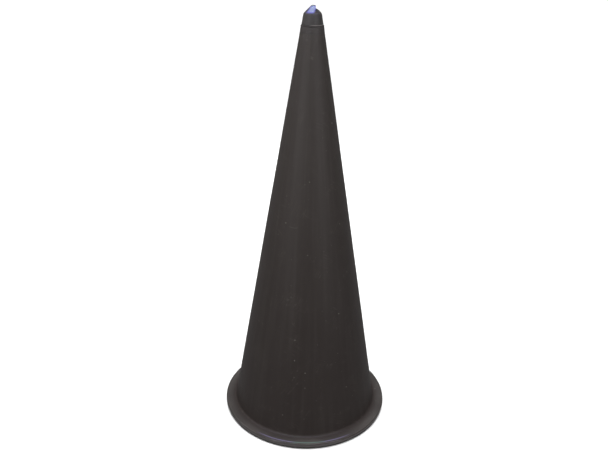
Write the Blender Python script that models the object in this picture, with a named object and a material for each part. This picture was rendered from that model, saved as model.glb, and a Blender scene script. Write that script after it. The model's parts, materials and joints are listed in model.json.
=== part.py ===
"""Round-based traffic cone with a lamp in its tip.

Run with: blender --background --python part.py

The base is a thin plastic cone with a rolled rim, standing on a rubber ring
that is screwed up into the rim. A small lamp plugs into the neck at the top:
its nose unscrews for the battery, and its clear tip is the push button.

Sizes are in millimetres and the helpers below turn them into metres. The cone
stands on Z = 0 with its axis on Z. Everything in the neck and the lamp is
drawn from the seat, the level on which the nose closes, as height 0.
"""

import math

import bmesh
import bpy
from mathutils import Matrix, Vector

MM = 0.001
GAP = 0.3
ROUND = 48
SMALL_ROUND = 32
TINY_ROUND = 16
SIXTHS = 6

# Driving sizes of the whole cone
TOTAL_HEIGHT = 711.0
RIM_RADIUS = 148.0
RIM_TOP = 10.8
FOOT_RADIUS = 129.0
NECK_RADIUS = 17.2
NOSE_HEIGHT = 29.2
WALL = 3.0

SEAT = TOTAL_HEIGHT - NOSE_HEIGHT
TAPER = (FOOT_RADIUS - NECK_RADIUS) / (SEAT - RIM_TOP)

# Rim: an upside-down channel that closes on the rubber ring
RIM_UNDER = 3.8
RIM_ROLL = 3.2
RIM_FILLET = 5.0
CHANNEL_INNER = 130.4
CHANNEL_OUTER = 145.2
CHANNEL_TOP = 8.2

# Rubber ring under the rim
RING_INNER = 121.5
RING_OUTER = 147.4
RING_UNDER = 1.2
RING_FLOOR = 3.8
RING_UPSTAND = 10.0
TONGUE_INNER = 138.6
TONGUE_OUTER = 144.9

# Screws and foot pads, one pair in each sixth of the ring
SCREW_CIRCLE = 142.0
SCREW_HEAD = 3.4
SCREW_SHAFT = 1.5
SCREW_TOP = 8.8
BOSS_RADIUS = 3.6
BOSS_UNDER = 5.0
COUNTERBORE_TOP = 3.2
PAD_CIRCLE = 131.0
PAD_RADIUS = 6.5
PAD_TOP = 2.2

# Stacking ribs inside the foot of the cone
RIB_LOW = 24.0
RIB_HIGH = 112.0
RIB_DEPTH = 4.0
RIB_WIDTH = 3.0

# Neck, from the seat
NECK_TOP = -1.9
COLLAR_HEIGHT = 10.0
COLLAR_FOOT_RADIUS = 18.9
LEDGE_RADIUS = 17.8
SPIGOT_RADIUS = 15.4
SOCKET_RADIUS = 13.0
SOCKET_DEPTH = 40.0
SOCKET_WALL = 2.2

# Lamp plug, from the seat
PLUG_RADIUS = 12.5
PLUG_UNDER = -34.0
PLUG_FLOOR = -31.9
BORE_RADIUS = 8.9
SCREW_NECK_RADIUS = 12.6
SCREW_NECK_TOP = 7.6
LEDGE_THICKNESS = 1.6
SEAL_HEIGHT = -14.0

# Screw thread between plug and nose
PITCH = 3.0
THREAD_TURNS = 1.25
THREAD_START = 2.95
MALE_CREST = 13.4
FEMALE_ROOT = 14.0
FEMALE_CREST = 13.1

# Nose cap, lens and what they hold, from the seat
LENS_BORE = 11.2
LENS_SEAT = 15.4
CAP_BORE = 12.7
BOARD_UNDER = 9.6
BOARD_THICKNESS = 1.6
BOARD_RADIUS = 12.4
LENS_RADIUS = 10.9
LENS_FLANGE = 12.3
LENS_FLANGE_UNDER = 13.7
DIFFUSER_UNDER = 14.1
SWITCH_OFFSET = 4.9
LED_OFFSET = -3.2

# Battery
CELL_RADIUS = 8.5
CELL_UNDER = -27.6
CELL_SHOULDER = 5.9
CELL_NUB = 6.9


def clear_scene():
    """Empties the scene that Blender opened with."""
    for old in list(bpy.data.objects):
        bpy.data.objects.remove(old)


def finish(name, colour, roughness, metallic=0.0, alpha=1.0):
    """A plain material: one colour, one roughness, metal or not."""
    material = bpy.data.materials.new(name)
    material.use_nodes = True
    shader = material.node_tree.nodes["Principled BSDF"]
    shader.inputs["Base Color"].default_value = (*colour, 1.0)
    shader.inputs["Roughness"].default_value = roughness
    shader.inputs["Metallic"].default_value = metallic
    shader.inputs["Alpha"].default_value = alpha
    return material


def placed(name, mesh, material, height=0.0, parent=None):
    """An object at a height on the cone's axis, under the empty of its group if it moves."""
    part = bpy.data.objects.new(name, mesh)
    bpy.context.scene.collection.objects.link(part)
    part.location.z = height * MM
    if parent is not None:
        part.location.z -= parent.location.z
        part.parent = parent
    mesh.materials.append(material)
    return part


def mesh_from(name, shape, smooth_below=math.radians(32)):
    """Closes a bmesh into a mesh with outward faces and its round parts shaded smooth."""
    bmesh.ops.remove_doubles(shape, verts=shape.verts, dist=0.001 * MM)
    bmesh.ops.recalc_face_normals(shape, faces=shape.faces)
    mesh = bpy.data.meshes.new(name)
    shape.to_mesh(mesh)
    shape.free()
    mesh.shade_smooth()
    mesh.set_sharp_from_angle(angle=smooth_below)
    return mesh


def turned_mesh(name, outline, steps=ROUND, sweep=360.0, start=0.0):
    """Spins an outline of (radius, height) points about Z.

    The outline closes itself unless it starts and ends on the axis.
    """
    shape = bmesh.new()
    turn = Matrix.Rotation(math.radians(start), 3, "Z")
    points = [shape.verts.new(turn @ Vector((r, 0.0, z)) * MM) for r, z in outline]
    pairs = list(zip(points, points[1:]))
    if outline[0][0] > 0 or outline[-1][0] > 0:
        pairs.append((points[-1], points[0]))
    edges = [shape.edges.new(pair) for pair in pairs]
    whole = sweep >= 360.0
    first = None if whole else shape.faces.new(points)
    spun = bmesh.ops.spin(
        shape,
        geom=edges if whole else [first],
        cent=(0.0, 0.0, 0.0),
        axis=(0.0, 0.0, 1.0),
        angle=math.radians(sweep),
        steps=steps,
        use_merge=whole,
    )
    del spun
    return mesh_from(name, shape)


def arc(centre, radius, start, end, count):
    """Points on a circle in the outline's plane, from one angle to another in degrees."""
    angles = [math.radians(start + (end - start) * i / count) for i in range(count + 1)]
    return [(centre[0] + radius * math.cos(a), centre[1] + radius * math.sin(a)) for a in angles]


def ring_section(centre_radius, centre_height, tube, count=8):
    """The outline of an O-ring or hoop."""
    return arc((centre_radius, centre_height), tube, 0, 360 - 360 / count, count - 1)


def block_mesh(name, low, high):
    """A box between two corners."""
    shape = bmesh.new()
    bmesh.ops.create_cube(shape, size=1.0)
    size = Vector(high) - Vector(low)
    middle = (Vector(high) + Vector(low)) / 2
    bmesh.ops.scale(shape, vec=size * MM, verts=shape.verts)
    bmesh.ops.translate(shape, vec=middle * MM, verts=shape.verts)
    return mesh_from(name, shape)


def round_bar(shape, radius, low, high, at, sides):
    """Adds an upright cylinder to a bmesh."""
    made = bmesh.ops.create_cone(
        shape,
        cap_ends=True,
        segments=sides,
        radius1=radius * MM,
        radius2=radius * MM,
        depth=(high - low) * MM,
    )
    middle = Vector((at[0], at[1], (low + high) / 2)) * MM
    bmesh.ops.translate(shape, vec=middle, verts=made["verts"])


def on_circle(radius, angle):
    """The point at an angle, in degrees, on a circle round the axis."""
    turn = math.radians(angle)
    return radius * math.cos(turn), radius * math.sin(turn)


def joined_to(part, helper_mesh, operation):
    """Adds or cuts a helper shape with an exact Boolean. The helper itself isn't a piece."""
    helper = bpy.data.objects.new(helper_mesh.name, helper_mesh)
    bpy.context.scene.collection.objects.link(helper)
    helper.location = part.location
    helper.parent = part.parent
    helper.hide_render = True
    helper.display_type = "WIRE"
    change = part.modifiers.new(helper_mesh.name, "BOOLEAN")
    change.operation = operation
    change.solver = "EXACT"
    change.object = helper


def bars_mesh(name, radius, low, high, circle, first_angle, sides=TINY_ROUND):
    """Six upright cylinders on a circle, as one helper shape."""
    shape = bmesh.new()
    for sixth in range(SIXTHS):
        at = on_circle(circle, first_angle + sixth * 360 / SIXTHS)
        round_bar(shape, radius, low, high, at, sides)
    return mesh_from(name, shape)


def skin_radius(height):
    """The cone's outer radius at a height above the ground."""
    return FOOT_RADIUS - TAPER * (height - RIM_TOP)


def bore_radius(height):
    """The cone's inner radius: the wall is measured square to the slope."""
    return skin_radius(height) - WALL * math.hypot(1.0, TAPER)


# ---------------------------------------------------------------- cone and base


def rim_fillet():
    """The small cove where the cone's slope runs out into the rim, as points from the rim up."""
    centre_height = RIM_TOP + RIM_FILLET
    tilt = math.degrees(math.atan(TAPER))
    centre_radius = skin_radius(centre_height) + RIM_FILLET * math.hypot(1.0, TAPER)
    return arc((centre_radius, centre_height), RIM_FILLET, 270, 180 + tilt, 4)


def cone_shell(material):
    """One moulding: rolled rim, tapered wall, and a neck with a socket tube for the lamp."""
    step = SEAT + NECK_TOP - COLLAR_HEIGHT - GAP
    tube = SOCKET_RADIUS + SOCKET_WALL
    tube_root = SEAT - 17.0
    outside = [
        (CHANNEL_OUTER, RIM_UNDER),
        (RIM_RADIUS - 1.0, RIM_UNDER),
        (RIM_RADIUS, RIM_UNDER + 1.0),
        *arc((RIM_RADIUS - RIM_ROLL, RIM_TOP - RIM_ROLL), RIM_ROLL, 0, 90, 4),
        *rim_fillet(),
        (skin_radius(step), step),
        (SPIGOT_RADIUS, step),
        (SPIGOT_RADIUS, SEAT + NECK_TOP),
    ]
    inside = [
        (SOCKET_RADIUS + 0.5, SEAT + NECK_TOP),
        (SOCKET_RADIUS, SEAT + NECK_TOP - 0.8),
        (SOCKET_RADIUS, SEAT - SOCKET_DEPTH),
        (tube, SEAT - SOCKET_DEPTH),
        (tube, tube_root),
        (bore_radius(tube_root), tube_root),
        (bore_radius(RIM_UNDER), RIM_UNDER),
        (CHANNEL_INNER, RIM_UNDER),
        (CHANNEL_INNER, CHANNEL_TOP),
        (CHANNEL_OUTER, CHANNEL_TOP),
    ]
    shell = placed("cone_shell", turned_mesh("cone_shell", outside + inside), material)
    joined_to(shell, stacking_ribs(), "UNION")
    bosses = bars_mesh("rim_bosses", BOSS_RADIUS, BOSS_UNDER, CHANNEL_TOP + 1.0, SCREW_CIRCLE, 0)
    joined_to(shell, bosses, "UNION")
    pilot = SCREW_SHAFT + GAP
    pilots = bars_mesh("boss_pilots", pilot, BOSS_UNDER - 1.0, SCREW_TOP + GAP, SCREW_CIRCLE, 0, 8)
    joined_to(shell, pilots, "DIFFERENCE")


def stacking_ribs():
    """Six thin fins that stop a stack of cones from sticking together."""
    shape = bmesh.new()
    half = RIB_WIDTH / 2
    ramp = 10.0
    side = [
        (bore_radius(RIB_LOW) + 1.0, RIB_LOW),
        (bore_radius(RIB_LOW), RIB_LOW),
        (bore_radius(RIB_LOW + ramp) - RIB_DEPTH, RIB_LOW + ramp),
        (bore_radius(RIB_HIGH - ramp) - RIB_DEPTH, RIB_HIGH - ramp),
        (bore_radius(RIB_HIGH), RIB_HIGH),
        (bore_radius(RIB_HIGH) + 1.0, RIB_HIGH),
    ]
    for sixth in range(SIXTHS):
        turn = Matrix.Rotation(math.radians((sixth + 0.5) * 360 / SIXTHS), 3, "Z")
        faces = []
        for y in (-half, half):
            faces.append([shape.verts.new(turn @ Vector((r, y, z)) * MM) for r, z in side])
        shape.faces.new(faces[0])
        shape.faces.new(list(reversed(faces[1])))
        for i, low in enumerate(faces[0]):
            after = (i + 1) % len(side)
            shape.faces.new((low, faces[1][i], faces[1][after], faces[0][after]))
    return mesh_from("stacking_ribs", shape)


def base_ring(material):
    """The rubber ring: a floor, an upstand inside the cone and a tongue inside the rim."""
    tongue_top = CHANNEL_TOP - GAP
    outline = [
        (RING_INNER + 0.8, RING_UNDER),
        (RING_OUTER - 1.2, RING_UNDER),
        (RING_OUTER, RING_UNDER + 1.2),
        (RING_OUTER, RIM_UNDER - GAP),
        (TONGUE_OUTER, RIM_UNDER - GAP),
        (TONGUE_OUTER, tongue_top),
        (TONGUE_INNER, tongue_top),
        (TONGUE_INNER, RING_FLOOR),
        (bore_radius(RING_FLOOR) - 2 * GAP, RING_FLOOR),
        (bore_radius(RING_UPSTAND) - 2 * GAP, RING_UPSTAND),
        (RING_INNER + 0.8, RING_UPSTAND),
        (RING_INNER, RING_UPSTAND - 0.8),
        (RING_INNER, RING_UNDER + 0.8),
    ]
    ring = placed("base_ring", turned_mesh("base_ring", outline), material)
    recess = BOSS_RADIUS + GAP
    shaft = SCREW_SHAFT + GAP
    head = SCREW_HEAD + GAP
    helpers = (
        bars_mesh("boss_recesses", recess, BOSS_UNDER - GAP, CHANNEL_TOP + 1.0, SCREW_CIRCLE, 0),
        bars_mesh("screw_holes", shaft, 0.0, BOSS_UNDER + 1.0, SCREW_CIRCLE, 0, 8),
        bars_mesh("screw_counterbores", head, 0.0, COUNTERBORE_TOP, SCREW_CIRCLE, 0, 12),
        bars_mesh("pad_recesses", PAD_RADIUS + GAP, 0.0, PAD_TOP + GAP, PAD_CIRCLE, 30),
    )
    for helper in helpers:
        joined_to(ring, helper, "DIFFERENCE")


def ballast_hoop(material):
    """A flat steel hoop lying in the ring, low down where weight steadies the cone."""
    inner = CHANNEL_INNER + GAP
    outer = TONGUE_INNER - GAP
    low = RING_FLOOR + GAP
    high = CHANNEL_TOP - GAP
    edge = 0.5
    outline = [
        (inner, low + edge),
        (inner + edge, low),
        (outer - edge, low),
        (outer, low + edge),
        (outer, high - edge),
        (outer - edge, high),
        (inner + edge, high),
        (inner, high - edge),
    ]
    placed("ballast_hoop", turned_mesh("ballast_hoop", outline), material)


def base_screws(material):
    """Six pan-head screws from below, with a hexagon socket in each head."""
    head_under = RING_UNDER
    head_top = COUNTERBORE_TOP - GAP
    outline = [
        (0.0, head_under),
        (SCREW_HEAD - 0.7, head_under),
        (SCREW_HEAD, head_under + 0.7),
        (SCREW_HEAD, head_top),
        (SCREW_SHAFT, head_top),
        (SCREW_SHAFT, SCREW_TOP - 0.8),
        (0.0, SCREW_TOP),
    ]
    for sixth in range(SIXTHS):
        name = f"base_screw_{sixth + 1}"
        screw = placed(name, turned_mesh(name, outline, 12), material)
        x, y = on_circle(SCREW_CIRCLE, sixth * 360 / SIXTHS)
        screw.location.x = x * MM
        screw.location.y = y * MM
        socket = bmesh.new()
        round_bar(socket, 1.5, 0.0, head_under + 1.1, (0.0, 0.0), 6)
        joined_to(screw, mesh_from(f"{name}_socket", socket), "DIFFERENCE")


def foot_pads(material):
    """Six grippy discs that carry the cone on the ground."""
    outline = [
        (0.0, 0.0),
        (PAD_RADIUS - 0.6, 0.0),
        (PAD_RADIUS, 0.6),
        (PAD_RADIUS, PAD_TOP),
        (0.0, PAD_TOP),
    ]
    for sixth in range(SIXTHS):
        name = f"foot_pad_{sixth + 1}"
        pad = placed(name, turned_mesh(name, outline, TINY_ROUND), material)
        x, y = on_circle(PAD_CIRCLE, (sixth + 0.5) * 360 / SIXTHS)
        pad.location.x = x * MM
        pad.location.y = y * MM


def neck_collar(material):
    """The ring that finishes the cut end of the cone and carries the lamp."""
    inner = SPIGOT_RADIUS + GAP
    low = NECK_TOP - COLLAR_HEIGHT
    outline = [
        (inner, low),
        (COLLAR_FOOT_RADIUS, low),
        (LEDGE_RADIUS, NECK_TOP - 0.3),
        (LEDGE_RADIUS - 0.3, NECK_TOP),
        (inner, NECK_TOP),
    ]
    placed("neck_collar", turned_mesh("neck_collar", outline, SMALL_ROUND), material, SEAT)


# ---------------------------------------------------------------- lamp


def thread_ridge(name, root, crest, start_angle):
    """A trapezoid ridge that climbs one pitch a turn and fades out at both ends."""
    shape = bmesh.new()
    steps = round(THREAD_TURNS * SMALL_ROUND)
    fade = 4
    sections = []
    for i in range(steps + 1):
        turn = math.radians(start_angle) + 2 * math.pi * i / SMALL_ROUND
        middle = THREAD_START + PITCH * i / SMALL_ROUND
        share = min(1.0, (min(i, steps - i) + 1) / fade)
        top = root + (crest - root) * (0.45 + 0.55 * share)
        section = []
        for radius, rise in ((root, -0.7), (top, -0.35), (top, 0.35), (root, 0.7)):
            flat = Vector((radius * math.cos(turn), radius * math.sin(turn), middle + rise))
            section.append(shape.verts.new(flat * MM))
        sections.append(section)
    for low, high in zip(sections, sections[1:]):
        for i in range(4):
            after = (i + 1) % 4
            shape.faces.new((low[i], low[after], high[after], high[i]))
    shape.faces.new(sections[0])
    shape.faces.new(list(reversed(sections[-1])))
    return mesh_from(name, shape)


def lamp_plug(material, group):
    """The battery tube: it drops into the neck's socket and hangs from its thin ledge."""
    groove_low, groove_high = SEAL_HEIGHT - 0.9, SEAL_HEIGHT + 0.9
    outline = [
        (0.0, PLUG_UNDER),
        (PLUG_RADIUS - 1.2, PLUG_UNDER),
        (PLUG_RADIUS, PLUG_UNDER + 1.2),
        (PLUG_RADIUS, groove_low),
        (PLUG_RADIUS - 1.1, groove_low),
        (PLUG_RADIUS - 1.1, groove_high),
        (PLUG_RADIUS, groove_high),
        (PLUG_RADIUS, -LEDGE_THICKNESS),
        (LEDGE_RADIUS - 0.3, -LEDGE_THICKNESS),
        (LEDGE_RADIUS, 0.3 - LEDGE_THICKNESS),
        *arc((LEDGE_RADIUS - 0.8, -0.8), 0.8, 0, 90, 3),
        (SCREW_NECK_RADIUS, 0.0),
        (SCREW_NECK_RADIUS, SCREW_NECK_TOP - 0.5),
        (SCREW_NECK_RADIUS - 0.5, SCREW_NECK_TOP),
        (BORE_RADIUS + 0.5, SCREW_NECK_TOP),
        (BORE_RADIUS, SCREW_NECK_TOP - 0.5),
        (BORE_RADIUS, PLUG_FLOOR),
        (0.0, PLUG_FLOOR),
    ]
    plug = placed("lamp_plug", turned_mesh("lamp_plug", outline, SMALL_ROUND), material, SEAT, group)
    ridge = thread_ridge("plug_thread", SCREW_NECK_RADIUS - 0.5, MALE_CREST, 0.0)
    joined_to(plug, ridge, "UNION")
    slot = block_mesh("strip_slot", (7.5, -1.9, PLUG_FLOOR), (9.95, 1.9, SCREW_NECK_TOP + 1.0))
    joined_to(plug, slot, "DIFFERENCE")


def o_ring(name, radius, height, tube, material, group):
    """A seal: round section, turned once round the axis."""
    mesh = turned_mesh(name, ring_section(radius, height, tube, 6), SMALL_ROUND)
    placed(name, mesh, material, SEAT, group)


def battery(material, group):
    """A 17 mm lithium cell with its raised terminal."""
    outline = [
        (0.0, CELL_UNDER),
        (CELL_RADIUS - 0.6, CELL_UNDER),
        (CELL_RADIUS, CELL_UNDER + 0.6),
        (CELL_RADIUS, CELL_SHOULDER - 0.6),
        (CELL_RADIUS - 0.6, CELL_SHOULDER),
        (3.2, CELL_SHOULDER),
        (3.2, CELL_NUB),
        (0.0, CELL_NUB),
    ]
    placed("battery", turned_mesh("battery", outline, 24), material, SEAT, group)


def battery_spring(material, group):
    """A conical coil that pushes the cell up against the board."""
    turns, steps, sides = 3.0, 14, 6
    low, high = -30.5, CELL_UNDER - GAP - 0.4
    wide, narrow, wire = 6.2, 3.4, 0.35
    count = round(turns * steps)
    shape = bmesh.new()
    rings = []
    for i in range(count + 1):
        share = i / count
        turn = 2 * math.pi * turns * share
        radius = wide + (narrow - wide) * share
        height = low + (high - low) * share
        ring = []
        for side in range(sides):
            around = 2 * math.pi * side / sides
            out = radius + wire * math.cos(around)
            up = height + wire * math.sin(around)
            ring.append(shape.verts.new(Vector((out * math.cos(turn), out * math.sin(turn), up)) * MM))
        rings.append(ring)
    for before, after in zip(rings, rings[1:]):
        for side in range(sides):
            beside = (side + 1) % sides
            shape.faces.new((before[side], before[beside], after[beside], after[side]))
    shape.faces.new(rings[0])
    shape.faces.new(list(reversed(rings[-1])))
    placed("battery_spring", mesh_from("battery_spring", shape), material, SEAT, group)


def contact_strip(material, group):
    """A brass strip from under the spring up the tube's side to the board's edge."""
    foot = PLUG_FLOOR + GAP
    side = [
        (-4.0, foot),
        (9.6, foot),
        (9.6, BOARD_UNDER - GAP),
        (9.2, BOARD_UNDER - GAP),
        (9.2, foot + 0.4),
        (-4.0, foot + 0.4),
    ]
    shape = bmesh.new()
    outline = [shape.verts.new(Vector((x, -1.5, z)) * MM) for x, z in side]
    face = shape.faces.new(outline)
    grown = bmesh.ops.extrude_face_region(shape, geom=[face])
    moved = [item for item in grown["geom"] if isinstance(item, bmesh.types.BMVert)]
    bmesh.ops.translate(shape, vec=Vector((0.0, 3.0, 0.0)) * MM, verts=moved)
    placed("contact_strip", mesh_from("contact_strip", shape), material, SEAT, group)


def nose_cap(material, group):
    """The dark nose: it screws down on the plug, and the lens looks out of its top."""
    outline = [
        (14.6, GAP),
        (16.4, GAP),
        (16.8, GAP + 0.4),
        (15.2, 9.1),
        (14.4, 13.5),
        (14.0, 15.0),
        (13.4, 16.4),
        (12.5, 17.7),
        (LENS_BORE + 0.25, 18.8),
        (LENS_BORE, 18.8),
        (LENS_BORE, LENS_SEAT),
        (CAP_BORE, LENS_SEAT),
        (CAP_BORE, 9.4),
        (13.3, 9.4),
        (13.3, 8.5),
        (12.8, 8.5),
        (12.8, 8.0),
        (FEMALE_ROOT, 8.0),
        (FEMALE_ROOT, 1.9),
        (14.6, 1.9),
    ]
    cap = placed("nose_cap", turned_mesh("nose_cap", outline, SMALL_ROUND), material, SEAT, group)
    ridge = thread_ridge("cap_thread", FEMALE_ROOT + 0.5, FEMALE_CREST, 180.0)
    joined_to(cap, ridge, "UNION")


def lens(material, group):
    """The tip itself: a smoky clear push button with a flange that keeps it in the nose."""
    outline = [
        (0.0, NOSE_HEIGHT),
        (2.2, NOSE_HEIGHT - 0.6),
        (3.5, NOSE_HEIGHT - 1.8),
        (4.2, 26.0),
        (4.9, 24.8),
        (8.0, 22.1),
        (LENS_RADIUS, 19.3),
        (LENS_RADIUS, LENS_SEAT - GAP),
        (LENS_FLANGE, LENS_SEAT - GAP),
        (LENS_FLANGE, LENS_FLANGE_UNDER),
        (9.5, LENS_FLANGE_UNDER),
        (9.5, 18.6),
        (6.6, 21.4),
        (3.3, 24.2),
        (2.4, 26.0),
        (1.4, 27.1),
        (0.0, 27.6),
    ]
    placed("lens", turned_mesh("lens", outline, SMALL_ROUND), material, SEAT, group)


def diffuser(material, group):
    """The pale blue dome inside the lens: it spreads the light and pushes the switch with its post."""
    outline = [
        (7.9, DIFFUSER_UNDER),
        (9.2, DIFFUSER_UNDER),
        (9.2, 15.2),
        (6.9, 16.2),
        (6.4, 17.2),
        (6.2, 20.6),
        (5.5, 21.8),
        (4.1, 23.0),
        (2.7, 24.2),
        (1.9, 25.7),
        (1.1, 26.7),
        (0.0, 27.0),
        (0.0, 24.4),
        (1.5, 23.6),
        (3.1, 22.2),
        (4.6, 20.8),
        (5.1, 19.6),
        (5.3, 17.2),
        (5.9, 16.2),
        (7.9, 15.1),
    ]
    dome = placed("diffuser", turned_mesh("diffuser", outline, SMALL_ROUND), material, SEAT, group)
    post = bmesh.new()
    round_bar(post, 1.15, 13.9, 18.0, (SWITCH_OFFSET, 0.0), 12)
    joined_to(dome, mesh_from("switch_post", post), "UNION")


def lens_boot(material, group):
    """A waisted silicone ring that springs the lens back up."""
    low = BOARD_UNDER + BOARD_THICKNESS + GAP
    high = LENS_FLANGE_UNDER - GAP
    middle = (low + high) / 2
    outline = [(10.2, low), (12.0, low), (11.5, middle), (12.0, high), (10.2, high), (9.7, middle)]
    placed("lens_boot", turned_mesh("lens_boot", outline, 24), material, SEAT, group)


def led_board(material, group):
    """The round board that carries the lamp's parts."""
    top = BOARD_UNDER + BOARD_THICKNESS
    outline = [(0.0, BOARD_UNDER), (BOARD_RADIUS, BOARD_UNDER), (BOARD_RADIUS, top), (0.0, top)]
    placed("led_board", turned_mesh("led_board", outline, SMALL_ROUND), material, SEAT, group)


def led(material, group):
    """The light source: a square package with a domed top."""
    low = BOARD_UNDER + BOARD_THICKNESS + GAP
    body = block_mesh("led", (LED_OFFSET - 2.2, -2.2, low), (LED_OFFSET + 2.2, 2.2, low + 1.2))
    lamp = placed("led", body, material, SEAT, group)
    dome = turned_mesh("led_dome", [(0.0, low + 0.6), *arc((0.0, low + 0.9), 1.8, 0, 90, 3)], 12)
    dome.transform(Matrix.Translation((LED_OFFSET * MM, 0.0, 0.0)))
    joined_to(lamp, dome, "UNION")


def switch(housing_material, stem_material, housing_group, stem_group):
    """The press switch: a square housing on the board and the stem that the lens pushes."""
    low = BOARD_UNDER + BOARD_THICKNESS + GAP
    high = low + 1.9
    body = block_mesh("switch_housing", (SWITCH_OFFSET - 2.2, -2.2, low), (SWITCH_OFFSET + 2.2, 2.2, high))
    housing = placed("switch_housing", body, housing_material, SEAT, housing_group)
    hole = bmesh.new()
    round_bar(hole, 1.35, low + 0.2, high + 1.0, (SWITCH_OFFSET, 0.0), 12)
    joined_to(housing, mesh_from("stem_hole", hole), "DIFFERENCE")
    stem = bmesh.new()
    round_bar(stem, 1.0, low + 1.4, 13.9 - GAP, (SWITCH_OFFSET, 0.0), 12)
    placed("switch_stem", mesh_from("switch_stem", stem), stem_material, SEAT, stem_group)


def board_retainer(material, group):
    """An open snap ring that holds the board up inside the nose."""
    outline = [(11.0, 8.6), (13.0, 8.6), (13.0, 9.3), (11.0, 9.3)]
    mesh = turned_mesh("board_retainer", outline, 28, sweep=330.0, start=15.0)
    placed("board_retainer", mesh, material, SEAT, group)


def board_contact(material, group):
    """The brass button under the board that meets the battery's terminal."""
    high = BOARD_UNDER - GAP
    low = CELL_NUB + GAP
    outline = [(0.0, low), (1.8, low), (2.6, high), (0.0, high)]
    placed("board_contact", turned_mesh("board_contact", outline, 12), material, SEAT, group)


def moving_group(name):
    """An empty on the cone's axis at the seat, which carries the pieces that move together."""
    group = bpy.data.objects.new(name, None)
    bpy.context.scene.collection.objects.link(group)
    group.location.z = SEAT * MM
    return group


def build():
    clear_scene()
    moulded = finish("moulded_black", (0.035, 0.031, 0.030), 0.45)
    rubber = finish("base_rubber", (0.045, 0.045, 0.043), 0.75)
    pad_rubber = finish("pad_rubber", (0.02, 0.02, 0.02), 0.85)
    cap_plastic = finish("cap_plastic", (0.050, 0.047, 0.046), 0.40)
    steel = finish("steel", (0.45, 0.45, 0.46), 0.40, 1.0)
    brass = finish("brass", (0.72, 0.55, 0.25), 0.35, 1.0)
    smoky = finish("lens_smoke", (0.10, 0.10, 0.12), 0.08, alpha=0.4)
    pale_blue = finish("diffuser_blue", (0.42, 0.47, 0.88), 0.35)
    silicone = finish("silicone", (0.12, 0.12, 0.13), 0.65)
    board_green = finish("board_green", (0.02, 0.16, 0.07), 0.50)
    led_white = finish("led_white", (0.85, 0.87, 0.90), 0.30)
    cell_wrap = finish("cell_wrap", (0.16, 0.22, 0.36), 0.35)

    cone_shell(moulded)
    base_ring(rubber)
    ballast_hoop(steel)
    base_screws(steel)
    foot_pads(pad_rubber)
    neck_collar(cap_plastic)

    lamp = moving_group("lamp_axis")
    lamp_plug(cap_plastic, lamp)
    o_ring("plug_seal", 12.25, SEAL_HEIGHT, 0.55, silicone, lamp)
    o_ring("nose_seal", 13.55, 0.95, 0.6, silicone, lamp)
    battery(cell_wrap, lamp)
    battery_spring(steel, lamp)
    contact_strip(brass, lamp)

    head = moving_group("head_axis")
    nose_cap(cap_plastic, head)
    board_retainer(steel, head)
    led_board(board_green, head)
    board_contact(brass, head)
    led(led_white, head)
    lens_boot(silicone, head)

    button = moving_group("button_axis")
    lens(smoky, button)
    diffuser(pale_blue, button)
    switch(silicone, brass, head, button)


build()
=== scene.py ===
# %% [markdown]
# # A slim dark traffic cone with a light in its tip
# The real cone is one thin plastic moulding. It stands on a rubber ring that is screwed up into
# its rolled rim, and a small lamp plugs into its neck. The lamp's nose screws off for the battery,
# and its smoky clear tip is the push button over a pale blue dome.
#
# The working model of all that is already packed: its pieces, sizes and joints are the frame. This
# script gives each piece its final surface. It makes a finer mesh where the eye would see a facet,
# and builds every finish from nodes, so that nothing depends on an image file.

import json
import math

import bmesh
import bpy
from mathutils import Matrix, Vector, noise

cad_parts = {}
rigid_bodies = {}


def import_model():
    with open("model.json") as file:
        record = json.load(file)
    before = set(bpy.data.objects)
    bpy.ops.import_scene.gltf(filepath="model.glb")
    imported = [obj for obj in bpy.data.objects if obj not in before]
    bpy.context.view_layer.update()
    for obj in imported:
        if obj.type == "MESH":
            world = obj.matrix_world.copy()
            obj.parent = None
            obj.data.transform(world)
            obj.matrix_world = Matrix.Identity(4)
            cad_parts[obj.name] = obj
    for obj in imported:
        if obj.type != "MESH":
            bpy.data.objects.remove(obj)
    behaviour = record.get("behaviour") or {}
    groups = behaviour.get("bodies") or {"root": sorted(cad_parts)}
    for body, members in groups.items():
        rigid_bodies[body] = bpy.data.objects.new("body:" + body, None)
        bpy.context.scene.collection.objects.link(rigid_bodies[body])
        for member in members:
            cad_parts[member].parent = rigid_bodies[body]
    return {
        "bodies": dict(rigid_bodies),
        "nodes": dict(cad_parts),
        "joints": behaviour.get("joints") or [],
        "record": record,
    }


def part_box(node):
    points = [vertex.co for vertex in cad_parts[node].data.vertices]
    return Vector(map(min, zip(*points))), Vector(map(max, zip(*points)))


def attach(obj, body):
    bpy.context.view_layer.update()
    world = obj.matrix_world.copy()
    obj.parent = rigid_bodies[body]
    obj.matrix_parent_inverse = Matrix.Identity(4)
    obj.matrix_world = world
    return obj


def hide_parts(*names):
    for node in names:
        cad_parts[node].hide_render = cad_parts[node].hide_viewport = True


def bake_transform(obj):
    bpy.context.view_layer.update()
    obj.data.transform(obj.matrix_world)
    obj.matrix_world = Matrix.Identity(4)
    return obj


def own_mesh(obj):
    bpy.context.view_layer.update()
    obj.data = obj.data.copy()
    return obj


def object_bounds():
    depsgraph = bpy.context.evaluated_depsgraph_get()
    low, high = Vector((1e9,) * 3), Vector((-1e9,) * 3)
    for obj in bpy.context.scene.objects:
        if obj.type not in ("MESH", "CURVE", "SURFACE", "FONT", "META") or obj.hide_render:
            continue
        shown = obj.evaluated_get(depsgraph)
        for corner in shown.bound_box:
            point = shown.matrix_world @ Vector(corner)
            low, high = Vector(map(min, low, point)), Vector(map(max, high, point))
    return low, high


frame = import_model()
cad_box = [list(corner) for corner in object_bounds()]
joints = {joint["name"]: joint for joint in frame["joints"]}
print("bodies:", ", ".join(frame["bodies"]))
print("the frame is", [round(high - low, 4) for low, high in zip(*cad_box)], "m")

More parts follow.
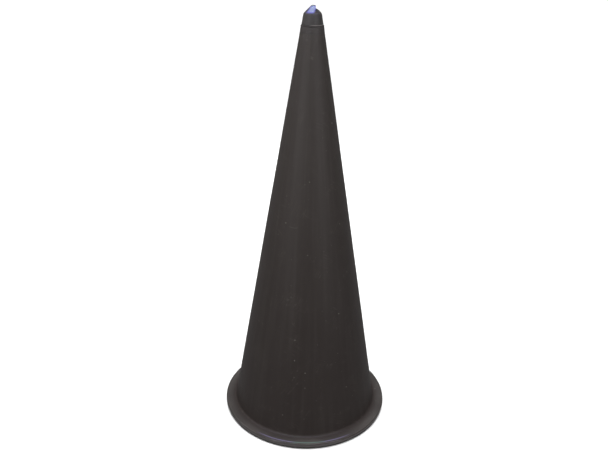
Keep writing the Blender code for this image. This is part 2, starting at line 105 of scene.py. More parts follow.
# %% [markdown]
# ## Sizes
# Lengths below are in millimetres, which suit an object of this size, and the helpers turn them
# into metres. The big sizes are read from the frame, so this script follows it if it changes.
# Everything in the neck and the lamp is measured from the seat, the level on which the nose closes.

# %% Driving sizes
MM = 0.001

def extent(node):
    """Outer radius, underside and top in millimetres of a node that is centred on the axis."""
    low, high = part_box(node)
    return high.x / MM, low.z / MM, high.z / MM

rim_radius, rim_under, neck_top = extent("cone_shell")
ring_radius, ring_under, ring_top = extent("base_ring")
_, collar_under, collar_top = extent("neck_collar")
seat = joints["head_turn"]["pos_m"][2] / MM
total_height = cad_box[1][2] / MM

RIM_TOP = 10.8
FOOT_RADIUS = 129.0
TIP_RADIUS = 17.2
WALL = 3.0
SLOPE = (FOOT_RADIUS - TIP_RADIUS) / (seat - RIM_TOP)
print(f"rim radius {rim_radius:.1f} mm, seat at {seat:.1f} mm, height {total_height:.1f} mm")

def skin(height):
    """The cone's outer radius at a height."""
    return FOOT_RADIUS - SLOPE * (height - RIM_TOP)

def bore(height):
    """The cone's inner radius at a height: the wall is measured square to the slope."""
    return skin(height) - WALL * math.hypot(1.0, SLOPE)

# %% [markdown]
# ## Turning a shape
# Nearly every piece here is round, so most of the modelling is one job: draw half a section and
# spin it about the axis. A section drawn with sharp corners looks like a computer model, because
# real edges always carry a small radius that catches a line of light. So each point of an outline
# has a third number, how far its corner is rounded, and short curves are put in before the spin.

# %% Rounded outlines and turned meshes
CORNER_CUTS = 4
CORNER_SHARE = 0.48
SAME_POINT = 1e-7
REAL_EDGE = math.radians(50)

def rounded(outline, longest=0.0):
    """Points of a closed outline of (radius, height, rounding), with its corners eased."""
    points = []
    for i, (radius, height, rounding) in enumerate(outline):
        here = Vector((radius, height))
        back = Vector(outline[i - 1][:2]) - here
        ahead = Vector(outline[(i + 1) % len(outline)][:2]) - here
        ease = min(rounding, CORNER_SHARE * back.length, CORNER_SHARE * ahead.length)
        if ease <= 0:
            points.append(here)
            continue
        start, end = here + back.normalized() * ease, here + ahead.normalized() * ease
        for cut in range(CORNER_CUTS + 1):
            t = cut / CORNER_CUTS
            points.append(start * (1 - t) ** 2 + here * 2 * t * (1 - t) + end * t * t)
    if not longest:
        return points
    finer = []
    for here, ahead in zip(points, points[1:] + points[:1]):
        parts = max(1, math.ceil((ahead - here).length / longest))
        finer += [here.lerp(ahead, part / parts) for part in range(parts)]
    return finer

def block(inner, outer, low, high, rounding):
    """The outline of a flat ring, or of a disc if its inner radius is nothing."""
    inside = rounding if inner else 0
    bottom = [(inner, low, inside), (outer, low, rounding)]
    return bottom + [(outer, high, rounding), (inner, high, inside)]

def filled(mesh, shape):
    """Puts a bmesh into a mesh, smooth but for its real edges."""
    shape.to_mesh(mesh)
    shape.free()
    mesh.shade_smooth()
    mesh.set_sharp_from_angle(angle=REAL_EDGE)
    return mesh

def closed_mesh(name, shape):
    """Turns a bmesh into a mesh of its own, with outward faces."""
    bmesh.ops.remove_doubles(shape, verts=shape.verts, dist=SAME_POINT)
    bmesh.ops.recalc_face_normals(shape, faces=shape.faces)
    return filled(bpy.data.meshes.new(name), shape)

def spoke(radius, height, angle):
    """The point at a radius and a height in millimetres, an angle in radians round the axis."""
    return radius * MM * math.cos(angle), radius * MM * math.sin(angle), height * MM

def turned(name, outline, level=0.0, steps=128, longest=0.0):
    """Spins an outline, drawn from a level, about the axis."""
    shape = bmesh.new()
    rings = []
    for radius, height in rounded(outline, longest):
        if radius <= 0:
            rings.append([shape.verts.new((0.0, 0.0, (level + height) * MM))] * steps)
            continue
        angles = [2 * math.pi * step / steps for step in range(steps)]
        rings.append([shape.verts.new(spoke(radius, level + height, a)) for a in angles])
    for low, high in zip(rings, rings[1:] + rings[:1]):
        if low[0] is low[1] and high[0] is high[1]:
            continue
        for step in range(steps):
            beside = (step + 1) % steps
            corners = dict.fromkeys((low[step], low[beside], high[beside], high[step]))
            shape.faces.new(corners)
    return closed_mesh(name, shape)

# %% [markdown]
# Holes, threads and bosses are added to a turned shape with exact Booleans, as a machinist would
# drill or tap a turned blank. The change is baked in at once, so no helper objects are left over.
# Where two surfaces cross at a glance, a Boolean leaves slivers thinner than a hair. They are
# merged away, so that every mesh stays one closed skin.

# %% Cutting and joining
SIXTHS = 6
SLIVER = 2e-6

def gathered(name, meshes):
    """Several meshes as one, side by side."""
    shape = bmesh.new()
    for mesh in meshes:
        shape.from_mesh(mesh)
        bpy.data.meshes.remove(mesh)
    return closed_mesh(name, shape)

def placed(name, data):
    """A new object in the scene, that holds a mesh, a light or a camera."""
    made = bpy.data.objects.new(name, data)
    bpy.context.scene.collection.objects.link(made)
    return made

def reshaped(mesh, helper, operation):
    """A mesh with a helper mesh cut out of it or joined to it."""
    blank, tool = placed(mesh.name, mesh), placed(helper.name, helper)
    change = blank.modifiers.new("reshape", "BOOLEAN")
    change.operation = operation
    change.solver = "EXACT"
    change.object = tool
    solved = blank.evaluated_get(bpy.context.evaluated_depsgraph_get())
    finished = bpy.data.meshes.new_from_object(solved)
    for used in (blank, tool):
        bpy.data.objects.remove(used)
    shape = bmesh.new()
    shape.from_mesh(finished)
    many_sided = [face for face in shape.faces if len(face.verts) > 4]
    bmesh.ops.triangulate(shape, faces=many_sided)
    bmesh.ops.dissolve_degenerate(shape, edges=shape.edges, dist=SLIVER)
    bmesh.ops.remove_doubles(shape, verts=shape.verts, dist=SLIVER)
    return filled(finished, shape)

def moved(mesh, x=0.0, angle=0.0):
    """A mesh shifted out from the axis in millimetres and then turned about it in degrees."""
    turn = Matrix.Rotation(math.radians(angle), 4, "Z")
    mesh.transform(turn @ Matrix.Translation((x * MM, 0.0, 0.0)))
    return mesh

def peg(radius, low, high, x=0.0, angle=0.0, level=0.0, steps=24, rounding=0.0):
    """A round upright bar."""
    bar = turned("peg", block(0.0, radius, low, high, rounding), level, steps)
    return moved(bar, x, angle)

def sixfold(make):
    """One shape repeated every sixty degrees."""
    return gathered("sixfold", [make(sixth * 360 / SIXTHS) for sixth in range(SIXTHS)])

# %% [markdown]
# ## Putting a piece in the frame
# A finished mesh rides on the body that carries it, so it moves when a joint moves. It stands for
# one node of the frame, which is then hidden, and is given a finish of its own.

# %% Show a piece
body_of = {
    node: body
    for body, nodes in frame["record"]["behaviour"]["bodies"].items()
    for node in nodes
}

def dress(mesh, finish):
    """Gives a mesh one finish, in place of any that it has."""
    mesh.materials.clear()
    mesh.materials.append(finish)

def show(name, mesh, node, finish, stands=(0.0, 0.0), rides=True):
    """Makes an object of a mesh, in place of a node of the frame, standing at a point in plan."""
    piece = placed(name, mesh)
    dress(mesh, finish)
    piece.location = (*stands, 0.0)
    if rides:
        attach(piece, body_of[node])
    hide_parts(node)
    print(f"{name}: {len(mesh.polygons)} faces, for {node}")
    return piece

# %% [markdown]
# ## Writing finishes as sums
# A finish is a network of nodes, and most of it is arithmetic: dust is a cloud pattern times how
# far the surface faces up. Written as sums, that is one readable line. A small class wraps a
# node's output so that plus, minus, times and power each add a Math node. A second one holds the
# material, makes any other node, and feeds the shader.

# %% Sums on node outputs
class Wire:
    """A node's output that sums can be written with."""

    def __init__(self, finish, socket):
        self.finish = finish
        self.socket = socket

    def also(self, name):
        """Another output of the same node."""
        return Wire(self.finish, self.socket.node.outputs[name])

    def __add__(self, other):
        return self.finish.maths("ADD", self, other)

    def __radd__(self, other):
        return self.finish.maths("ADD", other, self)

    def __sub__(self, other):
        return self.finish.maths("SUBTRACT", self, other)

    def __rsub__(self, other):
        return self.finish.maths("SUBTRACT", other, self)

    def __mul__(self, other):
        return self.finish.maths("MULTIPLY", self, other)

    def __rmul__(self, other):
        return self.finish.maths("MULTIPLY", other, self)

    def __truediv__(self, other):
        return self.finish.maths("DIVIDE", self, other)

    def __pow__(self, other):
        return self.finish.maths("POWER", self, other)

    def __abs__(self):
        return self.finish.maths("ABSOLUTE", self, 0.0)

class Finish:
    """A material, the nodes in it and the shader that they feed."""

    def __init__(self, name, **constants):
        self.material = bpy.data.materials.new(name)
        self.material.use_nodes = True
        self.tree = self.material.node_tree
        self.shader = self.tree.nodes["Principled BSDF"]
        for socket, value in constants.items():
            self.shader.inputs[socket.replace("_", " ")].default_value = value

    def node(self, kind, settings, sockets, output=0):
        """Adds a node, sets it up, fills its sockets, and hands back one of its outputs."""
        made = self.tree.nodes.new(kind)
        for name, value in settings.items():
            if name == "stops":
                self.set_stops(made.color_ramp, value)
            else:
                setattr(made, name, value)
        for name, value in sockets.items():
            self.feed(made.inputs[name], value)
        return Wire(self, made.outputs[output])

    def set_stops(self, ramp, stops):
        """Gives a colour ramp its (position, colour) stops."""
        while len(ramp.elements) < len(stops):
            ramp.elements.new(1.0)
        for element, (position, colour) in zip(ramp.elements, stops):
            element.position = position
            element.color = colour

    def feed(self, socket, value):
        """Links a wire into a socket, or sets the socket to a plain value."""
        if isinstance(value, Wire):
            self.tree.links.new(value.socket, socket)
        else:
            socket.default_value = value

    def surface(self, colour, gloss, relief, **more):
        """Feeds the shader its colour, its roughness, its relief in metres and any more."""
        sockets = {"Height": relief, "Distance": 1.0, "Strength": 1.0}
        bump = self.node("ShaderNodeBump", {}, sockets)
        inputs = {"Base_Color": colour, "Roughness": gloss, "Normal": bump, **more}
        for name, value in inputs.items():
            self.feed(self.shader.inputs[name.replace("_", " ")], value)
        print("finish:", self.material.name, "with", len(self.tree.nodes), "nodes")
        return self.material

    def maths(self, operation, first, second):
        """One sum, product or other step of arithmetic."""
        return self.node("ShaderNodeMath", {"operation": operation}, {0: first, 1: second})

    def place(self):
        """Where a point is on its piece, in metres. It moves with the piece."""
        return self.node("ShaderNodeTexCoord", {}, {}, "Object")

    def split(self, vector):
        """The three parts of a vector."""
        x = self.node("ShaderNodeSeparateXYZ", {}, {0: vector})
        return x, x.also("Y"), x.also("Z")

    def around(self):
        """A point's place, the three parts of it, and how far it is from the axis."""
        place = self.place()
        x, y, z = self.split(place)
        return place, x, y, z, (x * x + y * y) ** 0.5

    def join(self, x, y, z):
        """A vector of three parts."""
        return self.node("ShaderNodeCombineXYZ", {}, {0: x, 1: y, 2: z})

    def cloud(self, place, per_metre, detail=3.0, roughness=0.55):
        """Soft random patches from 0 to 1, so many to the metre."""
        sockets = {"Vector": place, "Scale": per_metre, "Detail": detail, "Roughness": roughness}
        return self.node("ShaderNodeTexNoise", {}, sockets)

    def ease(self, value, low, high):
        """0 below low, 1 above high, and a smooth rise between them."""
        settings = {"interpolation_type": "SMOOTHSTEP"}
        return self.node("ShaderNodeMapRange", settings, {"Value": value, 1: low, 2: high})

    def mix(self, share, first, second):
        """Blends two colours."""
        settings = {"data_type": "RGBA", "clamp_factor": True}
        return self.node("ShaderNodeMix", settings, {0: share, 6: first, 7: second}, 2)

    def upward(self):
        """How far the surface faces the sky, from -1 to 1."""
        normal = self.node("ShaderNodeNewGeometry", {}, {}, "Normal")
        return self.split(normal)[2]

def paint(red, green, blue):
    """A colour as a paint chart gives it, from 0 to 255, in the shader's own scale."""
    shares = [channel / 255 for channel in (red, green, blue)]
    return (*(s / 12.92 if s <= 0.04045 else ((s + 0.055) / 1.055) ** 2.4 for s in shares), 1.0)

BLACK = paint(0, 0, 0)

# %% [markdown]
# ## Marks of use
# Three kinds of mark make moulded plastic look real. Specks of dust are tiny, round and few.
# Scratches are long and thin, lean together, and come in patches where something rubbed. Dust film
# lies on what faces up. Specks and scratches are helpers here, because the wall, the collar, the
# nose and the rubber wear them, at their own strength; dust film is worked out in each finish.

# %% Specks, scratches and the way round
HAIRLINE = 0.045
RUNS_PER_METRE = 14.0
PATCHES_PER_METRE = 26.0
PATCH_LEVEL, PATCH_EDGE = 0.72, 0.08

def unrolled(finish, x, y, radius):
    """The way round the cone as a length in metres, with its seam at the back."""
    return finish.maths("ARCTAN2", x, -1.0 * y) * radius

def specks(finish, place, per_metre, share, size, settings=None):
    """Round dots in some of the cells of a random pattern. Size is a share of a cell."""
    sockets = {"Vector": place, "Scale": per_metre}
    distance = finish.node("ShaderNodeTexVoronoi", settings or {}, sockets)
    chance, width, _ = finish.split(distance.also("Color"))
    chosen = finish.maths("LESS_THAN", chance, share)
    edge = width * (0.6 * size) + 0.5 * size
    return chosen * finish.maths("LESS_THAN", distance, edge)

def scratches(finish, along, up, lean, spacing, share):
    """Thin marks that lean one way, in patches that cover a share of the surface."""
    turn = math.radians(lean)
    run = along * math.cos(turn) + up * math.sin(turn)
    across = up * math.cos(turn) - along * math.sin(turn)
    place = finish.join(run * RUNS_PER_METRE, across / (spacing * MM), 0.0)
    cells = {"Vector": place, "Scale": 1.0}
    settings = {"feature": "DISTANCE_TO_EDGE", "voronoi_dimensions": "2D"}
    line = 1.0 - finish.ease(finish.node("ShaderNodeTexVoronoi", settings, cells), 0.0, HAIRLINE)
    patch = finish.cloud(finish.join(along + lean, up, 0.0), PATCHES_PER_METRE, 2.0)
    edge = PATCH_LEVEL * (1.0 - share)
    return line * finish.ease(patch, edge, edge + PATCH_EDGE)

def arc_scratch(finish, along, up, centre, radius, reach):
    """One curved mark: the part of a thin circle that is within reach of its lowest point."""
    across, rise = along - centre[0] * MM, up - centre[1] * MM
    from_centre = (across * across + rise * rise) ** 0.5
    line = 1.0 - finish.ease(abs(from_centre - radius * MM), 0.2 * MM, 0.7 * MM)
    lower = rise + radius * MM
    away = (across * across + lower * lower) ** 0.5
    near = 1.0 - finish.ease(away, 0.6 * reach * MM, reach * MM)
    return line * near

# %% [markdown]
# ## The cone's plastic
# The wall is polyethylene with black pigment, a warm brown-black with a satin skin. It isn't even:
# the melt flowed up the mould and left faint upright streaks, and dust clings to it. Its upper part
# is painted paler, standing in for the light that falls more on it there. It gets its look from a
# dark base colour, a wide soft shine, and relief on two scales: a fine grain from the mould, and
# the slow ripple of a thin cooled wall.
# The rim has had the hard life, so its outer edge is scuffed paler and rougher than the rest, in
# patches. Its outer wall is painted paler all round, standing in for light from the floor, and its
# front carries a painted highlight: a thin cool line, greenish in the middle and violet beside.
#
# First come the places where each kind of wear, painted light and painted shade begins and where it
# is full, as pairs that the ease helper takes. They are heights, or distances from the axis, in
# metres.

# %% Where the wear and the painted light are
WALL_FROM, PAINTED_TOP_LIGHT_FROM = (0.0108, 0.0135), (0.05, 0.72)
DUST_AND_COVE_SHADE_FROM, UPWARD_FROM = (0.1285, 0.1425), (0.35, 0.95)
EDGE_FROM, EDGE_UP, FOOT_TO = (0.1435, 0.1476), (0.0048, 0.0098), (0.0035, 0.011)
PAINTED_FLOOR_LIGHT_FROM, PAINTED_FLOOR_LIGHT_TO = (0.1465, 0.1478), (0.0075, 0.0095)
HIGHLIGHT_LINE_FROM, HIGHLIGHT_LINE_TO, HIGHLIGHT_LINE_UP = (0.1422, 0.1431), (0.1439, 0.1448), (0.0090, 0.0098)

def scuffs(finish, place, z, radius):
    """The rim's outer edge, and how scuffed it and the foot are."""
    edge = finish.ease(radius, *EDGE_FROM) * finish.ease(z, *EDGE_UP)
    low = 1.0 - finish.ease(z, *FOOT_TO)
    patches = finish.ease(finish.cloud(place, 85.0, 6.0, 0.7), 0.48, 0.70)
    return edge, finish.maths("MINIMUM", (edge * 0.35 + low * 0.40) * patches, 1.0)

def painted_rim_highlight(finish, x, y, z, radius):
    """The painted highlight on the front of the rim, a thin cool line: where it is, and its colour.
    """
    line = finish.ease(radius, *HIGHLIGHT_LINE_FROM) * (1.0 - finish.ease(radius, *HIGHLIGHT_LINE_TO))
    line = line * finish.ease(z, *HIGHLIGHT_LINE_UP) * finish.ease(-1.0 * y / radius, 0.80, 0.92)
    beside = finish.ease(abs(x - 0.008), 0.018, 0.034)
    return line, finish.mix(beside, paint(88, 114, 106), paint(112, 106, 136))

def wall_marks(finish, along, z, on_wall):
    """Two families of scratches that lean opposite ways."""
    leaning = scratches(finish, along, z, 62.0, 2.2, 0.26)
    steep = scratches(finish, along, z, -24.0, 3.1, 0.22)
    return finish.maths("MAXIMUM", leaning, steep) * on_wall

# %% Cone plastic
def cone_plastic():
    finish = Finish("satin cone plastic", Specular_IOR_Level=0.26, IOR=1.5)
    place, x, y, z, radius = finish.around()
    along = unrolled(finish, x, y, radius)
    on_wall = finish.ease(z, *WALL_FROM)
    on_rim = 1.0 - on_wall
    clouds = finish.cloud(place, 13.0, 5.0)
    streaks = finish.cloud(finish.join(x / radius * 11.0, y / radius * 11.0, z * 5.0), 1.0, 4.0)
    streaks = streaks * on_wall + 0.5 * on_rim
    outward = finish.ease(radius, *DUST_AND_COVE_SHADE_FROM)

    # Painted light: the wall turns paler with height, standing in for the light that falls more on
    # its upper part. Clouds and streaks give the plastic's own uneven tone.
    pale = 0.22 * clouds + 0.22 * streaks + 0.80 * finish.ease(z, *PAINTED_TOP_LIGHT_FROM) - 0.20
    colour = finish.mix(pale, paint(45, 39, 37), paint(60, 55, 52))
    # Painted shade: the rim's top keeps the wall's dark colour where it meets the wall, in the
    # cove, and turns paler outward.
    colour = finish.mix(outward * on_rim, colour, paint(54, 50, 49))

    # Dust lies on what faces up and is kept out of the cove, which deepens the painted shade there.
    film = finish.ease(finish.upward(), *UPWARD_FROM) * finish.ease(clouds, 0.30, 0.80)
    dust = 0.19 * film * outward + 0.030 * finish.ease(streaks, 0.45, 0.75) * on_wall
    colour = finish.mix(dust, colour, paint(120, 116, 112))

    flat = {"voronoi_dimensions": "2D"}
    sheet = finish.join(along * on_wall + x * on_rim, z * on_wall + y * on_rim, 0.0)
    large = specks(finish, sheet, 52.0, 0.07, 0.050, flat)
    small = specks(finish, sheet, 150.0, 0.03, 0.060, flat)
    colour = finish.mix(0.45 * (large + small), colour, paint(146, 141, 133))

    marks = wall_marks(finish, along, z, on_wall)
    swipe = arc_scratch(finish, along, z, (-24.0, 398.0), 22.0, 9.0)
    colour = finish.mix(0.13 * marks + 0.16 * swipe, colour, paint(125, 118, 112))

    edge, scuff = scuffs(finish, place, z, radius)
    colour = finish.mix(0.40 * scuff, colour, paint(105, 101, 98))
    # Painted reflection: the rim's outer wall is painted paler all round, standing in for the white
    # floor's light on it.
    side = finish.ease(radius, *PAINTED_FLOOR_LIGHT_FROM) * (1.0 - finish.ease(z, *PAINTED_FLOOR_LIGHT_TO))
    colour = finish.mix(0.75 * side, colour, paint(96, 92, 91))
    # Painted highlight: a thin cool line on the front of the rim.
    line, cool = painted_rim_highlight(finish, x, y, z, radius)
    colour = finish.mix(0.75 * line, colour, cool)

    grain = finish.cloud(place, 1100.0, 2.0)
    ripple = finish.cloud(place, 45.0, 2.0)
    parting = 1.0 - finish.ease(abs(y), 0.0001, 0.0005)
    relief = grain * 2.2e-5 + ripple * 1.0e-4 - marks * 2.0e-5 - scuff * 3.0e-5 + parting * 6.0e-5
    gloss = 0.46 + 0.12 * clouds + 0.20 * dust + 0.15 * scuff + 0.10 * marks - 0.32 * edge
    return finish.surface(colour, gloss, relief)

satin_plastic = cone_plastic()

# %% [markdown]
# ## The cone's wall
# On the real thing this is the injection moulding: a wall 3 mm thick that leans in one in six, a
# cove where it runs out into the rim, and a rim that curls down to hide the rubber. Inside are the
# ribs that keep stacked cones apart, the socket for the lamp and the bosses for the screws.
# It could be a cone primitive with a Solidify modifier, but then neither the cove nor the rim's
# roll would be right, so it is a turned section with the corner radii of the real mould.

# %% Wall section
RIM_LIP = 2.8
CHANNEL_TOP = 8.2
CHANNEL_INNER = 130.4
SOCKET, SOCKET_WALL, SOCKET_FOOT = 13.0, 2.2, -40.0
SPIGOT = 15.4
GAP = 0.3
step_top = collar_under - GAP
tube_root = seat - 17.0

wall_outline = [
    (rim_radius - RIM_LIP, rim_under, 0.3),
    (rim_radius, rim_under, 1.3),
    (rim_radius, RIM_TOP, 4.0),
    (skin(RIM_TOP), RIM_TOP, 4.5),
    (skin(step_top), step_top, 0.1),
    (SPIGOT, step_top, 0.2),
    (SPIGOT, neck_top, 0.3),
    (SOCKET, neck_top, 0.7),
    (SOCKET, seat + SOCKET_FOOT, 0.5),
    (SOCKET + SOCKET_WALL, seat + SOCKET_FOOT, 0.5),
    (SOCKET + SOCKET_WALL, tube_root, 1.5),
    (bore(tube_root), tube_root, 1.0),
    (bore(rim_under), rim_under, 0.4),
    (CHANNEL_INNER, rim_under, 0.3),
    (CHANNEL_INNER, CHANNEL_TOP, 0.5),
    (rim_radius - RIM_LIP, CHANNEL_TOP, 0.5),
]
wall = turned("cone_wall", wall_outline, steps=240, longest=9.0)
print("wall section:", len(wall_outline), "corners,", len(wall.vertices), "vertices")

# %% [markdown]
# A thin wall never cools quite true. Slow waves a fifth of a millimetre deep are pressed into it,
# inside and out alike, and they fade out at the rim and the neck, where other pieces must fit.
# Without them the highlights would run dead straight from top to bottom.

# %% A wall that cooled unevenly
WAVE_DEPTH = 0.22
WAVE_LENGTH = 150.0
WAVES_ROUND = 1.3

def fade(height):
    """1 along the open wall, and 0 near the rim and the neck."""
    above_rim = min(1.0, max(0.0, (height - 20.0) / 60.0))
    below_neck = min(1.0, max(0.0, (seat - 60.0 - height) / 80.0))
    return above_rim * below_neck

for vertex in wall.vertices:
    outward = Vector((vertex.co.x, vertex.co.y, 0.0)).normalized()
    height = vertex.co.z / MM
    spot = Vector((outward.x * WAVES_ROUND, outward.y * WAVES_ROUND, height / WAVE_LENGTH))
    vertex.co += outward * WAVE_DEPTH * MM * fade(height) * noise.noise(spot)

# %% [markdown]
# The ribs are thin fins on the inside of the foot, ramped at both ends so that cones slide apart.
# Bosses hang in the rim's channel, each with a pilot hole for its screw.

# %% Ribs and bosses
RIB_LOW, RIB_HIGH, RIB_RAMP, RIB_DEPTH, RIB_HALF = 24.0, 112.0, 10.0, 4.0, 1.5
RIB_ROOT, RIB_ROUNDING, RIB_CLEAR = 1.2, 0.5, 1.0
BOSS_CIRCLE, BOSS_RADIUS, BOSS_UNDER, PILOT, PILOT_TOP = 142.0, 3.6, 5.0, 1.8, 9.1

def rib(angle):
    """One fin, at an angle round the cone."""
    side = [
        (bore(RIB_LOW) + RIB_ROOT, RIB_LOW),
        (bore(RIB_LOW), RIB_LOW),
        (bore(RIB_LOW + RIB_RAMP) - RIB_DEPTH, RIB_LOW + RIB_RAMP),
        (bore(RIB_HIGH - RIB_RAMP) - RIB_DEPTH, RIB_HIGH - RIB_RAMP),
        (bore(RIB_HIGH), RIB_HIGH),
        (bore(RIB_HIGH) + RIB_ROOT, RIB_HIGH),
    ]
    shape = bmesh.new()
    face = shape.faces.new([shape.verts.new((r * MM, -RIB_HALF * MM, z * MM)) for r, z in side])
    grown = bmesh.ops.extrude_face_region(shape, geom=[face])["geom"]
    far = [item for item in grown if isinstance(item, bmesh.types.BMVert)]
    bmesh.ops.translate(shape, vec=(0.0, 2 * RIB_HALF * MM, 0.0), verts=far)
    bared = [
        edge
        for edge in shape.edges
        if min(v.co.x / MM - bore(v.co.z / MM) for v in edge.verts) < -RIB_CLEAR
    ]
    bmesh.ops.bevel(
        shape, geom=bared, offset=RIB_ROUNDING * MM, segments=3, affect="EDGES", profile=0.5
    )
    return moved(closed_mesh("rib", shape), angle=angle)

ribs = sixfold(lambda angle: rib(angle + 30.0))
bosses = sixfold(
    lambda angle: peg(BOSS_RADIUS, BOSS_UNDER, CHANNEL_TOP + 1.0, BOSS_CIRCLE, angle, rounding=0.3)
)
pilots = sixfold(lambda angle: peg(PILOT, BOSS_UNDER - 1.0, PILOT_TOP, BOSS_CIRCLE, angle))
for helper, operation in ((ribs, "UNION"), (bosses, "UNION"), (pilots, "DIFFERENCE")):
    wall = reshaped(wall, helper, operation)
show("cone_wall", wall, "cone_shell", satin_plastic)

# %% [markdown]
# ## The rubber ring
# The ring closes the rim from below. Recycled rubber is dull and slightly grey, with coarse grain
# and pale dust rubbed into it. Its underside has shallow round grooves that let water out, so it
# doesn't stick to a wet floor. Recesses take the screw heads and the foot pads.

# %% Rubber finish
def rubber(name, dark, pale, coarse):
    finish = Finish(name, Specular_IOR_Level=0.3)
    place = finish.place()
    clouds = finish.cloud(place, 38.0, 6.0, 0.65)
    crumbs = finish.cloud(place, coarse, 3.0, 0.7)
    colour = finish.mix(0.75 * clouds - 0.12, dark, pale)
    pale_crumbs = finish.ease(crumbs, 0.62, 0.74)
    colour = finish.mix(0.30 * pale_crumbs, colour, paint(120, 116, 108))
    dots = specks(finish, place, 260.0, 0.10, 0.10)
    colour = finish.mix(0.45 * dots, colour, paint(150, 142, 130))
    gloss = 0.62 + 0.22 * clouds + 0.10 * pale_crumbs
    return finish.surface(colour, gloss, crumbs * 1.4e-4 + clouds * 1.5e-4 + dots * 1.0e-4)

ring_rubber = rubber("recycled rubber", paint(40, 39, 38), paint(66, 64, 61), 700.0)

# %% Ring shape
RING_INNER = 121.5
RING_FLOOR = 3.8
TONGUE_INNER, TONGUE_OUTER = 138.6, 144.9
COUNTERBORE, COUNTERBORE_TOP = 3.7, 3.2
PAD_CIRCLE, PAD_RECESS, PAD_RECESS_TOP = 131.0, 6.8, 2.5
GROOVE_WIDTH, GROOVE_DEPTH = 1.1, 0.5
groove_radii = (124.6, 128.0, 131.4, 134.8)

def groove(radius):
    """One round groove in the underside, as four corners from the inside out."""
    half, top = GROOVE_WIDTH / 2, ring_under + GROOVE_DEPTH
    ends = ((-GROOVE_WIDTH, ring_under), (-half, top), (half, top), (GROOVE_WIDTH, ring_under))
    return [(radius + shift, height, 0.2) for shift, height in ends]

ring_outline = [
    (RING_INNER, ring_under, 1.0),
    *(corner for radius in groove_radii for corner in groove(radius)),
    (ring_radius, ring_under, 1.6),
    (ring_radius, rim_under - GAP, 0.4),
    (TONGUE_OUTER, rim_under - GAP, 0.1),
    (TONGUE_OUTER, CHANNEL_TOP - GAP, 0.6),
    (TONGUE_INNER, CHANNEL_TOP - GAP, 0.6),
    (TONGUE_INNER, RING_FLOOR, 0.2),
    (bore(RING_FLOOR) - 2 * GAP, RING_FLOOR, 0.2),
    (bore(ring_top) - 2 * GAP, ring_top, 0.4),
    (RING_INNER, ring_top, 1.0),
]

def recess(angle):
    """What one screw and one pad take out of the ring."""
    cuts = [
        peg(BOSS_RADIUS + GAP, BOSS_UNDER - GAP, CHANNEL_TOP + 1.0, BOSS_CIRCLE, angle),
        peg(PILOT, COUNTERBORE_TOP - 0.5, BOSS_UNDER, BOSS_CIRCLE, angle),
        peg(COUNTERBORE, 0.0, COUNTERBORE_TOP, BOSS_CIRCLE, angle, rounding=0.2),
        peg(PAD_RECESS, 0.0, PAD_RECESS_TOP, PAD_CIRCLE, angle + 30.0, steps=40, rounding=0.3),
    ]
    return gathered("recess", cuts)

recesses = sixfold(recess)
ring = reshaped(turned("rubber_ring", ring_outline, steps=240), recesses, "DIFFERENCE")
show("rubber_ring", ring, "base_ring", ring_rubber)

# %% [markdown]
# ## Steel: hoop and screws
# The hoop inside the rubber only adds weight, low down. The screws are zinc plated, so they are
# grey metal with a faint yellow and blue bloom, and cloudy white where the plating has aged.
# A screw head shows fine rings from the lathe: a sine of the distance from its own centre.

# %% Zinc plate
def zinc(name, rings_per_metre):
    finish = Finish(name)
    place, _, _, _, from_centre = finish.around()
    rings = 0.5 + 0.5 * finish.maths("SINE", from_centre * (2 * math.pi * rings_per_metre), 0.0)
    clouds = finish.cloud(place, 420.0, 5.0, 0.6)
    bloom = finish.cloud(place, 190.0, 2.0)
    colour = finish.mix(bloom, paint(196, 190, 172), paint(172, 180, 192))
    aged = finish.ease(clouds, 0.55, 0.75)
    colour = finish.mix(0.45 * aged, colour, paint(148, 147, 144))
    gloss = 0.26 + 0.10 * rings + 0.30 * aged
    relief = rings * 4.0e-6 + clouds * 8.0e-6
    return finish.surface(colour, gloss, relief, Metallic=1.0 - 0.35 * aged)

screw_zinc = zinc("zinc plated screw", 3200.0)
bar_zinc = zinc("zinc plated bar", 900.0)

# %% Weight hoop
_, hoop_under, hoop_top = extent("ballast_hoop")
hoop_outline = block(CHANNEL_INNER + GAP, TONGUE_INNER - GAP, hoop_under, hoop_top, 0.7)
hoop = turned("weight_hoop", hoop_outline, steps=200)
show("weight_hoop", hoop, "ballast_hoop", bar_zinc)

# %% Screws
HEAD, SHAFT, HEX, HEX_DEPTH = 3.4, 1.5, 1.5, 1.1
THREAD_DEPTH, HALF_TURN, HALF_TURNS = 0.3, 0.35, 12

def middle(node):
    """Where the middle of a small node is, in plan, and its underside and top in millimetres."""
    low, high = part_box(node)
    centre = (low + high) / 2
    return (centre.x, centre.y), low.z / MM, high.z / MM

def screw_mesh(under, top):
    """A pan head with a hexagon socket, and a shaft with a thread's rounded turns."""
    head_top = COUNTERBORE_TOP - GAP
    turns = [
        (SHAFT - THREAD_DEPTH * (half % 2), head_top + 0.6 + HALF_TURN * half, 0.12)
        for half in range(HALF_TURNS)
    ]
    outline = [
        (0.0, under, 0),
        (HEAD, under, 1.1),
        (HEAD, head_top, 0.3),
        (SHAFT, head_top, 0.2),
        *turns,
        (SHAFT * 0.8, top - 0.7, 0.2),
        (0.0, top, 0),
    ]
    socket = peg(HEX, under - 1.0, under + HEX_DEPTH, steps=6)
    return reshaped(turned("screw", outline, steps=40), socket, "DIFFERENCE")

for sixth in range(1, SIXTHS + 1):
    stands, under, top = middle(f"base_screw_{sixth}")
    show(f"screw_{sixth}", screw_mesh(under, top), f"base_screw_{sixth}", screw_zinc, stands)

# %% [markdown]
# ## Foot pads
# Six soft discs carry the cone. Each has two round grooves in its tread, so it grips but doesn't
# suck itself to a wet floor. They are blacker than the ring, because they aren't recycled rubber.

